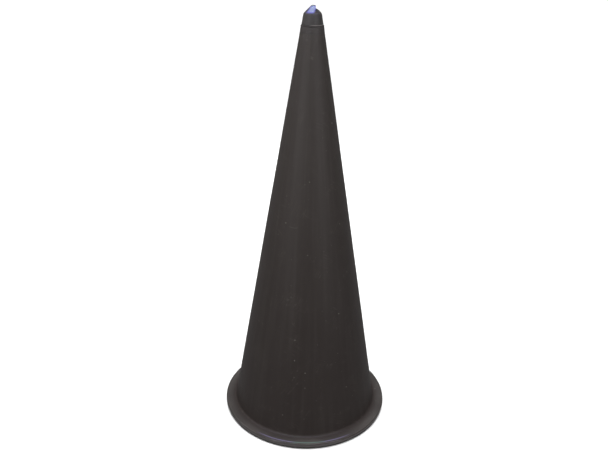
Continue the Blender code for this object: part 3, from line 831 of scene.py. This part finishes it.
# %% Pads
pad_rubber = rubber("soft pad rubber", paint(27, 27, 27), paint(44, 43, 42), 1300.0)
PAD, PAD_TOP, TREAD_DEPTH = 6.5, 2.2, 0.45
tread_edges = ((2.0, 2.3, 3.1, 3.4), (4.6, 4.9, 5.4, 5.6))
tread = [
    (radius, TREAD_DEPTH if corner in (1, 2) else 0.0, 0.15)
    for edges in tread_edges
    for corner, radius in enumerate(edges)
]
pad_outline = [(0.0, 0.0, 0), *tread, (PAD, 0.0, 0.5), (PAD, PAD_TOP, 0.3), (0.0, PAD_TOP, 0)]
for sixth in range(1, SIXTHS + 1):
    stands, _, _ = middle(f"foot_pad_{sixth}")
    disc = turned("pad", pad_outline, steps=48)
    show(f"pad_{sixth}", disc, f"foot_pad_{sixth}", pad_rubber, stands)

# %% [markdown]
# ## The neck's collar and the lamp's plug
# The collar is a ring pressed over the cut end of the cone. The lamp's plug drops into the socket
# and hangs from a thin ledge with a rounded upper edge. Just above it, the nose's lower edge
# carries a painted highlight, the one bright line round the tip. The collar and the plug are a
# harder plastic than the wall: a little greyer, a little glossier, and handled more.

# %% Where the lamp's glow is painted
GLOW_FOOT, GLOW_SIDE, GLOW_SPREAD = 17.0, 1.3, 0.5
NEAR_SIDE, FAR_SIDE = (-0.95, -0.48), (-0.0024, 0.0020)
GLOW_RISES, GLOW_FADES, LIP_HIGHLIGHT_TO = (16.3, 19.8), (25.8, 28.3), (1.0, 1.5)

def at_level(pair):
    """A pair of heights from the seat in millimetres, as heights from the ground in metres."""
    return [(seat + height) * MM for height in pair]

def painted_glow(finish, x, z, radius):
    """How strongly a point is painted as lit by the lamp: not its far side, its top or what the
    nose hides.
    """
    near_side = finish.ease(x / radius, *NEAR_SIDE)
    border = (GLOW_SIDE + GLOW_SPREAD * (-GLOW_FOOT - seat)) * MM + GLOW_SPREAD * z
    far_side = 1.0 - finish.ease(x - border, *FAR_SIDE)
    foot = finish.ease(z, *at_level(GLOW_RISES))
    crown = 1.0 - finish.ease(z, *at_level(GLOW_FADES))
    return near_side * far_side * foot * crown

# %% Hard plastic
def hard_plastic(name, dark, pale, shine, lit=False):
    finish = Finish(name, Specular_IOR_Level=0.34, IOR=1.5, Emission_Strength=1.0 if lit else 0.0)
    place, x, y, z, radius = finish.around()
    along = unrolled(finish, x, y, radius)
    clouds = finish.cloud(place, 70.0, 5.0)
    colour = finish.mix(0.9 * clouds - 0.05, dark, pale)
    film = finish.ease(finish.upward(), 0.4, 0.95) * finish.ease(clouds, 0.4, 0.7)
    colour = finish.mix(0.10 * film, colour, paint(132, 127, 120))
    dots = specks(finish, place, 300.0, 0.10, 0.07)
    colour = finish.mix(0.4 * dots, colour, paint(150, 146, 138))
    marks = scratches(finish, along, z, 8.0, 0.9, 0.40)
    colour = finish.mix(0.12 * marks, colour, paint(125, 122, 118))
    light = {}
    if lit:
        # Painted highlight: the nose's lower edge is painted paler at its front and right, in
        # patches, as the bright line round the tip.
        lip = 1.0 - finish.ease(z, *at_level(LIP_HIGHLIGHT_TO))
        sheet = finish.join(x * 60.0, y * 60.0, 0.0)
        patches = finish.ease(finish.cloud(sheet, 1.0, 2.0), 0.2, 0.5)
        lip_highlight = finish.ease(x - 0.4 * y, -0.001, 0.009) * patches
        colour = finish.mix(0.6 * lip * lip_highlight, colour, paint(150, 145, 142))
        # Painted glow: emission on the nose's shoulder, standing in for the tip's light falling on
        # it.
        painted_spill = painted_glow(finish, x, z, radius)
        light["Emission_Color"] = finish.mix(painted_spill, BLACK, paint(112, 112, 214))
    handled = finish.cloud(place, 160.0, 3.0)
    grain = finish.cloud(place, 2400.0, 2.0)
    gloss = shine + 0.12 * handled + 0.2 * film + 0.10 * marks
    relief = grain * 1.2e-5 + handled * 2.0e-5 - marks * 1.2e-5
    return finish.surface(colour, gloss, relief, **light)

collar_plastic = hard_plastic("collar plastic", paint(48, 43, 41), paint(65, 60, 58), 0.44)
nose_plastic = hard_plastic("nose plastic", paint(52, 49, 48), paint(66, 63, 62), 0.42, lit=True)

# %% Collar
JOINT = 0.25
ledge_radius = 17.8
collar_outline = [
    (SPIGOT + GAP, collar_under - JOINT, 0.3),
    (skin(collar_under - JOINT), collar_under - JOINT, 0.1),
    (ledge_radius, collar_top, 0.5),
    (SPIGOT + GAP, collar_top, 0.3),
]
collar = turned("tip_collar", collar_outline, steps=128)
show("tip_collar", collar, "neck_collar", collar_plastic)

# %% [markdown]
# A screw thread is a ridge that climbs one pitch a turn. Its section is a flat-topped wedge, and
# it grows out of the core and sinks back over a sixth of a turn at each end, as a moulded thread
# does, so that the nose finds its start. The plug has the outer ridge. The nose has the same
# ridge pointing inwards, half a turn on, so the two lie in each other's grooves.

# %% Threads
PITCH = 3.0
THREAD_START, THREAD_TURNS, THREAD_STEPS = 2.95, 1.25, 72
ROOT_HALF, CREST_HALF, FIRST_GROWTH = 0.7, 0.35, 0.45
MALE_CREST, FEMALE_CREST, SUNK = 13.4, 13.1, 0.5

def swept(name, sections):
    """Joins closed sections, one after another, into a mesh that is capped at both ends."""
    shape = bmesh.new()
    rings = [[shape.verts.new(point) for point in section] for section in sections]
    for before, after in zip(rings, rings[1:]):
        for side in range(len(before)):
            beside = (side + 1) % len(before)
            shape.faces.new((before[side], before[beside], after[beside], after[side]))
    shape.faces.new(rings[0])
    shape.faces.new(rings[-1][::-1])
    return closed_mesh(name, shape)

def thread(name, root, crest, first_angle):
    """A ridge from one radius to another, from the seat up."""
    steps = round(THREAD_TURNS * THREAD_STEPS)
    fading = THREAD_STEPS / 6
    sections = []
    for step in range(steps + 1):
        angle = math.radians(first_angle) + 2 * math.pi * step / THREAD_STEPS
        centre = seat + THREAD_START + PITCH * step / THREAD_STEPS
        grown = min(1.0, (min(step, steps - step) + 1) / fading)
        top = root + (crest - root) * (FIRST_GROWTH + (1 - FIRST_GROWTH) * grown)
        corners = ((root, -ROOT_HALF), (top, -CREST_HALF), (top, CREST_HALF), (root, ROOT_HALF))
        sections.append([spoke(radius, centre + rise, angle) for radius, rise in corners])
    return swept(name, sections)

# %% Plug
PLUG, PLUG_FOOT, PLUG_FLOOR, PLUG_BORE = 12.5, -34.0, -31.9, 8.9
CORE, LEDGE = 12.6, 1.6
SEAL_LEVEL, SEAL_DEPTH, SEAL_HALF = -14.0, 1.1, 0.9
SLOT_OUT, SLOT_DEPTH, SLOT_WIDTH = 8.725, 2.45, 3.8
core_top = extent("lamp_plug")[2] - seat
slot_top = core_top + 1.0

plug_outline = [
    (0.0, PLUG_FOOT, 0),
    (PLUG, PLUG_FOOT, 1.6),
    (PLUG, SEAL_LEVEL - SEAL_HALF, 0.15),
    (PLUG - SEAL_DEPTH, SEAL_LEVEL - SEAL_HALF, 0.15),
    (PLUG - SEAL_DEPTH, SEAL_LEVEL + SEAL_HALF, 0.15),
    (PLUG, SEAL_LEVEL + SEAL_HALF, 0.15),
    (PLUG, -LEDGE, 0.3),
    (ledge_radius, -LEDGE, 0.3),
    (ledge_radius, 0.0, 0.9),
    (CORE, 0.0, 0.2),
    (CORE, core_top, 0.5),
    (PLUG_BORE, core_top, 0.5),
    (PLUG_BORE, PLUG_FLOOR, 0.4),
    (0.0, PLUG_FLOOR, 0),
]
plug = turned("lamp_tube", plug_outline, seat, steps=128)
plug = reshaped(plug, thread("outer_thread", CORE - SUNK, MALE_CREST, 0.0), "UNION")
slot_size = Vector((SLOT_DEPTH, SLOT_WIDTH, slot_top - PLUG_FLOOR)) * MM
slot_middle = Vector((SLOT_OUT, 0.0, seat + (slot_top + PLUG_FLOOR) / 2)) * MM
slot = bmesh.new()
bmesh.ops.create_cube(slot, size=1.0)
bmesh.ops.scale(slot, vec=slot_size, verts=slot.verts)
bmesh.ops.translate(slot, vec=slot_middle, verts=slot.verts)
plug = reshaped(plug, closed_mesh("slot", slot), "DIFFERENCE")
show("lamp_tube", plug, "lamp_plug", collar_plastic)

# %% [markdown]
# ## Seals and the silicone ring
# Two O-rings keep the wet out, and a waisted silicone ring springs the button back. Silicone is
# smooth, slightly greasy and picks up lint. The waisted ring is squashed when the button is pushed.

# %% Silicone
def silicone_rubber():
    finish = Finish("grey silicone", Specular_IOR_Level=0.45)
    place = finish.place()
    clouds = finish.cloud(place, 240.0, 4.0)
    lint = specks(finish, place, 700.0, 0.12, 0.12)
    colour = finish.mix(clouds, paint(78, 78, 82), paint(104, 104, 108))
    colour = finish.mix(0.4 * lint, colour, paint(190, 188, 184))
    return finish.surface(colour, 0.42 + 0.2 * clouds, clouds * 2.0e-5)

silicone = silicone_rubber()

def o_ring(name, node, radius, height, tube):
    """A round ring: a circle of a few corners, eased into a true round, and spun."""
    corners = [math.radians(45 + 90 * corner) for corner in range(4)]
    reach = tube * math.sqrt(2)
    outline = [(radius + reach * math.cos(a), height + reach * math.sin(a), tube) for a in corners]
    show(name, turned(name, outline, seat, steps=96), node, silicone)

o_ring("tube_seal", "plug_seal", 12.25, SEAL_LEVEL, 0.55)
o_ring("nose_ring", "nose_seal", 13.55, 0.95, 0.6)

# %% Silicone return ring
_, boot_under, boot_top = extent("lens_boot")
boot_under, boot_top = boot_under - seat, boot_top - seat
waist = (boot_under + boot_top) / 2
boot_outline = [
    (10.2, boot_under, 0.3),
    (12.0, boot_under, 0.3),
    (11.5, waist, 0.8),
    (12.0, boot_top, 0.3),
    (10.2, boot_top, 0.3),
    (9.7, waist, 0.8),
]
boot = turned("return_ring", boot_outline, seat, 96)
return_ring = show("return_ring", boot, "lens_boot", silicone)
press = joints["lens_press"]["range_m"][1] / MM
boot_height = boot_top - boot_under
(seat + boot_under) * MM
(boot_height - press) / boot_height
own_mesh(return_ring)

# %% [markdown]
# ## Battery, spring and brass
# The cell is a steel can in a shrink wrap. Only its ends are bare metal, so one finish holds both,
# and a mask made from height and radius decides which is metal. The spring is a wire swept along a
# narrowing helix. Its foot stays in the tube and its head follows the cell up as the nose is
# unscrewed.

# %% Cell
_, cell_under, cell_nub = extent("battery")
CELL, SHOULDER = 8.5, 5.9
cell_under, cell_nub = cell_under - seat, cell_nub - seat

def cell_finish():
    finish = Finish("wrapped cell")
    place, x, y, z, radius = finish.around()
    low = 1.0 - finish.ease(z, *at_level((cell_under + 0.5, cell_under + 0.7)))
    high = finish.ease(z, *at_level((SHOULDER - 0.4, SHOULDER - 0.2)))
    inside = 1.0 - finish.ease(radius, 0.0070, 0.0072)
    bare = finish.maths("MAXIMUM", low, high) * inside
    clouds = finish.cloud(place, 260.0, 5.0)
    band = finish.ease(z, *at_level((-4.0, -3.9)))
    wrap = finish.mix(band, paint(58, 72, 98), paint(150, 156, 160))
    wrap = finish.mix(0.25 * clouds, wrap, paint(30, 36, 48))
    colour = finish.mix(bare, wrap, paint(190, 188, 182))
    wrinkles = finish.cloud(finish.join(x * 900.0, y * 900.0, z * 120.0), 1.0, 2.0)
    return finish.surface(colour, 0.22 + 0.18 * clouds, wrinkles * 1.5e-5, Metallic=bare)

cell_outline = [
    (0.0, cell_under, 0),
    (7.0, cell_under, 0.1),
    (7.1, cell_under + 0.15, 0.1),
    (CELL, cell_under + 0.15, 0.7),
    (CELL, SHOULDER, 0.8),
    (7.1, SHOULDER, 0.1),
    (7.0, SHOULDER - 0.2, 0.1),
    (3.2, SHOULDER - 0.2, 0.2),
    (3.2, cell_nub, 0.5),
    (0.0, cell_nub, 0),
]
show("cell", turned("cell", cell_outline, seat, 72), "battery", cell_finish())

# %% Spring
COIL_TURNS, COIL_WIDE, COIL_NARROW, WIRE_RADIUS = 3.0, 6.2, 3.4, 0.35
COIL_STEPS, WIRE_SIDES = 40, 12

def coil_mesh(low, high):
    """A wire swept along a helix that narrows as it climbs, closed at both ends."""
    count = round(COIL_TURNS * COIL_STEPS)
    rounds = [2 * math.pi * side / WIRE_SIDES for side in range(WIRE_SIDES)]
    sections = []
    for step in range(count + 1):
        share = step / count
        radius = COIL_WIDE + (COIL_NARROW - COIL_WIDE) * share
        height = seat + (low + (high - low) * share)
        wire = [(WIRE_RADIUS * math.cos(a), WIRE_RADIUS * math.sin(a)) for a in rounds]
        angle = 2 * math.pi * COIL_TURNS * share
        sections.append([spoke(radius + out, height + up, angle) for out, up in wire])
    return swept("coil", sections)

spring_low = extent("battery_spring")[1] - seat
coil = coil_mesh(spring_low + WIRE_RADIUS, cell_under - 2 * WIRE_RADIUS)
cell_spring = show("cell_spring", coil, "battery_spring", bar_zinc, rides=False)
coil_foot, coil_head = (seat + spring_low) * MM, (seat + cell_under - WIRE_RADIUS) * MM
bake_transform(cell_spring)

# %% Brass
def brass(name):
    finish = Finish(name, Metallic=1.0)
    place = finish.place()
    x, y, z = finish.split(place)
    tarnish = finish.ease(finish.cloud(place, 330.0, 5.0, 0.6), 0.5, 0.75)
    colour = finish.mix(tarnish, paint(214, 178, 104), paint(140, 104, 62))
    rolled = finish.cloud(finish.join(x * 300.0, y * 3000.0, z * 300.0), 1.0, 2.0)
    return finish.surface(colour, 0.24 + 0.28 * tarnish, rolled * 6.0e-6)

stamped_brass = brass("stamped brass")
for node in ("contact_strip", "board_contact", "switch_stem"):
    dress(frame["nodes"][node].data, stamped_brass)

# %% [markdown]
# ## The nose
# The nose is the piece that a hand turns. Outside it carries on the cone's lean, then breaks into
# a shoulder at forty-five degrees. Inside, from the top, it has the ledge that keeps the button in,
# the bore for the board, a groove for the snap ring, and the thread.

# %% Nose shape
LENS_BORE, LENS_SEAT, CAP_BORE, FEMALE_ROOT = 11.2, 15.4, 12.7, 14.0
nose_outline = [
    (14.6, 0.3, 0.3),
    (16.8, 0.3, 0.5),
    (15.2, 9.1, 2.0),
    (14.5, 13.5, 1.5),
    (13.9, 16.3, 1.2),
    (12.7, 18.0, 1.0),
    (LENS_BORE, 19.45, 0.3),
    (LENS_BORE, LENS_SEAT, 0.1),
    (CAP_BORE, LENS_SEAT, 0.2),
    (CAP_BORE, 9.4, 0.1),
    (13.3, 9.4, 0.1),
    (13.3, 8.5, 0.1),
    (12.8, 8.5, 0.1),
    (12.8, 8.0, 0.1),
    (FEMALE_ROOT, 8.0, 0.2),
    (FEMALE_ROOT, 1.9, 0.1),
    (14.6, 1.9, 0.2),
]
nose = turned("nose", nose_outline, seat, steps=144)
nose = reshaped(nose, thread("inner_thread", FEMALE_ROOT + SUNK, FEMALE_CREST, 180.0), "UNION")
show("nose", nose, "nose_cap", nose_plastic)

# %% [markdown]
# ## The light in the tip
# A smoky clear button sits over a pale blue dome. The button has to be real clear plastic, with a
# wall and a hollow: then its middle shows the dome, and its flanks go dark by themselves, because
# there the eye looks along the wall. The dome is milky and a little lit, most on the side of the
# light source under it. On the clear plastic and on the nose's edge a glow is painted as emission:
# it stands in for the dome's light caught there and for a highlight on the tip's left side. That
# painted glow is set by where a point is on its piece, so it looks right from every side and turns
# with it.

# %% Clear tip
def smoky_clear():
    finish = Finish(
        "smoky clear plastic",
        Transmission_Weight=0.75,
        IOR=1.45,
        Specular_IOR_Level=0.4,
        Emission_Strength=1.0,
    )
    place, x, _, z, radius = finish.around()
    smears = finish.cloud(place, 190.0, 4.0)
    colour = finish.mix(smears, paint(70, 68, 70), paint(92, 90, 94))
    # Painted glow and highlight: emission on the clear plastic, from dark to pale blue, strongest
    # on its left side and slanting up to the top.
    ramp = [
        (0.0, BLACK),
        (0.30, paint(42, 38, 66)),
        (0.52, paint(84, 84, 168)),
        (0.78, paint(113, 120, 182)),
        (1.0, paint(128, 139, 180)),
    ]
    lit = painted_glow(finish, x, z, radius) + 0.25 * smears - 0.12
    light = finish.node("ShaderNodeValToRGB", {"stops": ramp}, {"Fac": lit})
    return finish.surface(colour, 0.12 + 0.10 * smears, smears * 1.0e-5, Emission_Color=light)

clear_outline = [
    (0.0, 28.6, 0),
    (2.9, 28.35, 0.6),
    (4.1, 26.7, 1.0),
    (4.9, 25.3, 1.0),
    (5.7, 23.9, 0.8),
    (7.8, 22.5, 0.8),
    (9.6, 21.05, 1.0),
    (LENS_BORE - 0.3, 19.75, 0.6),
    (LENS_BORE - 0.3, LENS_SEAT - 0.3, 0.1),
    (12.3, LENS_SEAT - 0.3, 0.3),
    (12.3, 13.7, 0.3),
    (9.5, 13.7, 0.3),
    (9.5, 18.6, 0.8),
    (3.3, 24.2, 0.8),
    (2.4, 26.0, 0.8),
    (1.4, 27.0, 0.6),
    (0.0, 27.3, 0),
]
tip_mesh = turned("clear_tip", clear_outline, seat, 128, 0.8)

# %% [markdown]
# The tip isn't round all the way up. On one side its waist is pinched in and its crown stands
# over, which a fingertip can find in the dark. Sliding the outer skin sideways, by an amount that
# depends on the height, does that and leaves the hollow inside it round.

# %% Pinched side
PINCH = (
    (19.6, 0.0),
    (21.0, 0.0),
    (22.5, 0.35),
    (23.9, 0.95),
    (25.3, 0.3),
    (26.7, -0.4),
    (28.7, -1.0),
)
HOLLOW, HOLLOW_TOP, HOLLOW_SLOPE = 9.5, 18.6, 1.107
SKIN_FROM, SKIN_DEPTH = 0.2, 0.9

def pinch(height):
    """How far the skin slides sideways at a height, in millimetres."""
    for (low, start), (high, end) in zip(PINCH, PINCH[1:]):
        if low <= height <= high:
            share = (height - low) / (high - low)
            return start + (end - start) * share * share * (3 - 2 * share)
    return 0.0

for vertex in tip_mesh.vertices:
    height = vertex.co.z / MM - seat
    hollow = max(0.0, min(HOLLOW, HOLLOW - (height - HOLLOW_TOP) * HOLLOW_SLOPE))
    depth = math.hypot(vertex.co.x, vertex.co.y) / MM - hollow - SKIN_FROM
    outside = min(1.0, max(0.0, depth / SKIN_DEPTH))
    vertex.co.x -= pinch(height) * outside * MM
show("clear_tip", tip_mesh, "lens", smoky_clear())

# %% Blue dome
def milky_blue():
    finish = Finish(
        "milky blue plastic",
        Emission_Strength=1.0,
        Subsurface_Weight=0.2,
        Subsurface_Scale=0.002,
    )
    place = finish.place()
    light_at = Vector((-3.2, 0.0, seat + 17.0)) * MM
    settings = {"operation": "DISTANCE"}
    away = finish.node("ShaderNodeVectorMath", settings, {0: place, 1: light_at}, "Value")
    lit = 1.0 - finish.ease(away, 0.003, 0.016)
    swirls = finish.cloud(place, 420.0, 3.0)
    colour = finish.mix(swirls, paint(62, 66, 110), paint(84, 92, 140))
    light = finish.mix(lit, paint(8, 8, 30), paint(76, 86, 196))
    return finish.surface(colour, 0.30 + 0.1 * swirls, swirls * 1.5e-5, Emission_Color=light)

dome_outline = [
    (7.9, 14.1, 0.2),
    (9.2, 14.1, 0.2),
    (9.2, 15.2, 0.4),
    (6.5, 16.2, 0.8),
    (6.3, 20.7, 1.2),
    (4.1, 23.0, 0.8),
    (2.6, 24.4, 0.8),
    (1.8, 26.1, 0.6),
    (1.0, 26.9, 0.4),
    (0.0, 27.0, 0),
    (0.0, 24.4, 0),
    (1.5, 23.6, 0.6),
    (4.7, 20.7, 0.8),
    (5.2, 17.0, 0.6),
    (5.9, 16.2, 0.3),
    (7.9, 15.1, 0.2),
]
dome = turned("blue_dome", dome_outline, seat, 96)
dome = reshaped(dome, peg(1.15, 13.9, 18.0, 4.9, level=seat, rounding=0.2), "UNION")
show("blue_dome", dome, "diffuser", milky_blue())

# %% [markdown]
# ## Board, light source and switch
# These are only seen when the lamp is taken apart. The board is green with copper tracks in rings
# and small gold pads here and there; the tracks are arcs picked out by radius and angle. The light
# source has a yellow dome on a white body, which one finish does by height.

# %% Small electronics
def board_finish():
    finish = Finish("green circuit board", Specular_IOR_Level=0.5)
    place, x, y, _, radius = finish.around()
    arcs = finish.maths("SINE", radius * (2 * math.pi * 900.0), 0.0)
    breaks = finish.cloud(finish.join(x / radius, y / radius, radius * 400.0), 1.6, 1.0)
    tracks = finish.ease(arcs, 0.25, 0.4) * finish.ease(breaks, 0.46, 0.50)
    pads = finish.ease(specks(finish, place, 420.0, 0.25, 0.25), 0.4, 0.6)
    weave = finish.cloud(finish.join(x * 1800.0, y * 1800.0, 0.0), 1.0, 1.0)
    colour = finish.mix(tracks, paint(18, 74, 42), paint(38, 108, 62))
    colour = finish.mix(pads, colour, paint(208, 170, 92))
    relief = tracks * 3.0e-5 + pads * 2.0e-5 + weave * 6.0e-6
    return finish.surface(colour, 0.32 + 0.15 * weave, relief, Metallic=pads)

def led_finish():
    finish = Finish("light source", Specular_IOR_Level=0.5)
    place = finish.place()
    domed = finish.ease(finish.split(place)[2], *at_level((12.65, 12.8)))
    clouds = finish.cloud(place, 900.0, 3.0)
    package = finish.mix(clouds, paint(226, 226, 222), paint(240, 240, 238))
    colour = finish.mix(domed, package, paint(238, 214, 110))
    return finish.surface(colour, 0.38 - 0.2 * domed, clouds * 1.0e-5)

BOARD = 12.4
_, board_under, board_top = extent("led_board")
board_mesh = turned("board", block(0.0, BOARD, board_under, board_top, 0.2), steps=96)
show("board", board_mesh, "led_board", board_finish())
switch_plastic = hard_plastic("switch plastic", paint(34, 34, 36), paint(52, 52, 54), 0.4)
for node, finish in (
    ("led", led_finish()),
    ("switch_housing", switch_plastic),
    ("board_retainer", bar_zinc),
):
    dress(frame["nodes"][node].data, finish)

# %% [markdown]
# ## Floor and light
# The cone stands on white paper: a wide disc under a wide dome, so far off that no edge shows. One
# broad overhead sun washes the floor nearly white while it only grazes the steep wall, so the wall
# stays dark, and the dome shines by itself, so there is no grey horizon. The paper is only there
# from its front. Seen from below it vanishes, so the underside can be looked at too. It is hidden
# from matt and glossy rays, because at a low angle its white would wash out the wall's dark edges.
#
# Two tall soft panels at the front corners give the wall its faint upright bands. A large panel
# lifts the left edge, and one high in front lifts the upper wall and the nose. Two wide fills for
# matt light only, behind and below, reach what the front lights can't. Small tinted strips add a
# trace of cool gloss to the rim. A dim sky fills the rest.

# %% Floor
FLOOR_RADIUS = 40.0
BACKDROP_FOOT = -0.35
DULLEST, PALEST = (0.90, 0.90, 0.90, 1.0), (0.93, 0.93, 0.93, 1.0)

def paper(name, brightness):
    """White paper that is only there from its front, so that the cone can be seen from below."""
    finish = Finish(
        name,
        Specular_IOR_Level=0.0,
        Emission_Strength=1.0 if brightness else 0.0,
        Emission_Color=(brightness, brightness, brightness, 1.0),
    )
    place = finish.place()
    fibres = finish.cloud(place, 700.0, 2.0)
    colour = finish.mix(finish.cloud(place, 3.0, 4.0), DULLEST, PALEST)
    back = finish.node("ShaderNodeNewGeometry", {}, {}, "Backfacing")
    return finish.surface(colour, 0.9, fibres * 1.0e-5, Alpha=1.0 - back)

def studio(name, shape, finish):
    """Something that stands round the cone and isn't part of it."""
    mesh = bpy.data.meshes.new(name)
    shape.to_mesh(mesh)
    shape.free()
    dress(mesh, finish)
    paper_sheet = placed(name, mesh)
    paper_sheet.visible_diffuse = False
    paper_sheet.visible_glossy = False
    paper_sheet.visible_shadow = False

disc = bmesh.new()
bmesh.ops.create_circle(disc, cap_ends=True, segments=96, radius=FLOOR_RADIUS)
studio("floor", disc, paper("white floor", 0.0))

shell = bmesh.new()
bmesh.ops.create_uvsphere(shell, u_segments=64, v_segments=32, radius=FLOOR_RADIUS)
lowest = BACKDROP_FOOT * FLOOR_RADIUS
below = [face for face in shell.faces if face.calc_center_median().z < lowest]
bmesh.ops.delete(shell, geom=below, context="FACES")
bmesh.ops.reverse_faces(shell, faces=shell.faces)
studio("backdrop", shell, paper("white backdrop", 0.9))

# %% Sky and lights
scene = bpy.context.scene
scene.view_settings.view_transform = "Standard"
sky = bpy.data.worlds.new("studio")
sky.use_nodes = True
sky_inputs = sky.node_tree.nodes["Background"].inputs
sky_inputs["Color"].default_value = (0.98, 0.99, 1.0, 1.0)
sky_inputs["Strength"].default_value = 0.26
scene.world = sky

MATT, GLOSS = ("diffuse",), ("glossy",)
WHITE, VIOLET, TEAL = (1.0, 1.0, 1.0), (0.62, 0.50, 1.0), (0.55, 1.0, 0.85)

def lamp(kind, name, place, aim, power, colour=WHITE, seen_by=MATT + GLOSS, **settings):
    """A light aimed at a point, for matt shine, gloss or both. The camera doesn't see it."""
    data = bpy.data.lights.new(name, kind)
    data.energy = power
    data.color = colour
    for setting, value in settings.items():
        setattr(data, setting, value)
    light = placed(name, data)
    light.location = place
    light.rotation_euler = (Vector(aim) - Vector(place)).to_track_quat("-Z", "Y").to_euler()
    light.visible_camera = False
    light.visible_diffuse = "diffuse" in seen_by
    light.visible_glossy = "glossy" in seen_by

def panel(name, place, aim, power, size, **settings):
    """A soft rectangular light, of a width and a height."""
    sides = {"shape": "RECTANGLE", "size": size[0], "size_y": size[1]}
    lamp("AREA", name, place, aim, power, **sides, **settings)

rim_front = (0, -0.148, 0)
lamp("SUN", "overhead", (0, 0, 3), (0, 0, 0), 3.0, angle=math.radians(40), seen_by=MATT)
panel("left_panel", (-0.90, -1.05, 0.82), (0, 0, 0.5), 6.0, (0.4, 1.3))
panel("right_panel", (0.90, -1.05, 0.78), (0, 0, 0.5), 5.4, (0.4, 1.3))
panel("left_wall", (-1.5, 0.1, 1.35), (0, 0, 0.75), 7.0, (1.2, 0.9))
panel("high_front", (0, -1.0, 1.35), (0, 0, 0.68), 2.0, (0.7, 0.3))
panel("back_fill", (0.2, 1.6, 1.0), (0, 0, 0.35), 9.0, (1.6, 1.0), seen_by=MATT)
panel("under_fill", (0, 0, -1.0), (0, 0, 0), 7.0, (1.6, 1.0), seen_by=MATT)
panel("rim_centre", (0, -0.45, 1.5), rim_front, 3.0, (0.4, 0.12), colour=TEAL, seen_by=GLOSS)
for side in (-1, 1):
    place = (0.55 * side, -0.35, 1.45)
    panel(f"rim_side_{side}", place, rim_front, 4.0, (0.6, 0.12), colour=VIOLET, seen_by=GLOSS)

# %% [markdown]
# ## Camera
# A hand-held view from a metre away and a little above the tip: the tip is seen nearly level, and
# the rim well from above. The small roll is the tilt of the hand.

# %% Camera
DISTANCE, EYE_HEIGHT = 1.0299, 0.7952
PITCH_DOWN, TURN, ROLL = 23.447, 0.39, 1.067
SENSOR = 36.0
FOCAL = 38.98

camera_data = bpy.data.cameras.new("camera")
camera_data.sensor_width = SENSOR
camera_data.lens = FOCAL
camera = placed("camera", camera_data)
facing = (
    Matrix.Rotation(math.radians(TURN), 4, "Z")
    @ Matrix.Rotation(math.radians(90 - PITCH_DOWN), 4, "X")
    @ Matrix.Rotation(math.radians(ROLL), 4, "Z")
)
camera.matrix_world = Matrix.Translation((0.0, -DISTANCE, EYE_HEIGHT)) @ facing
scene.camera = camera

# %% Close
bpy.context.view_layer.update()
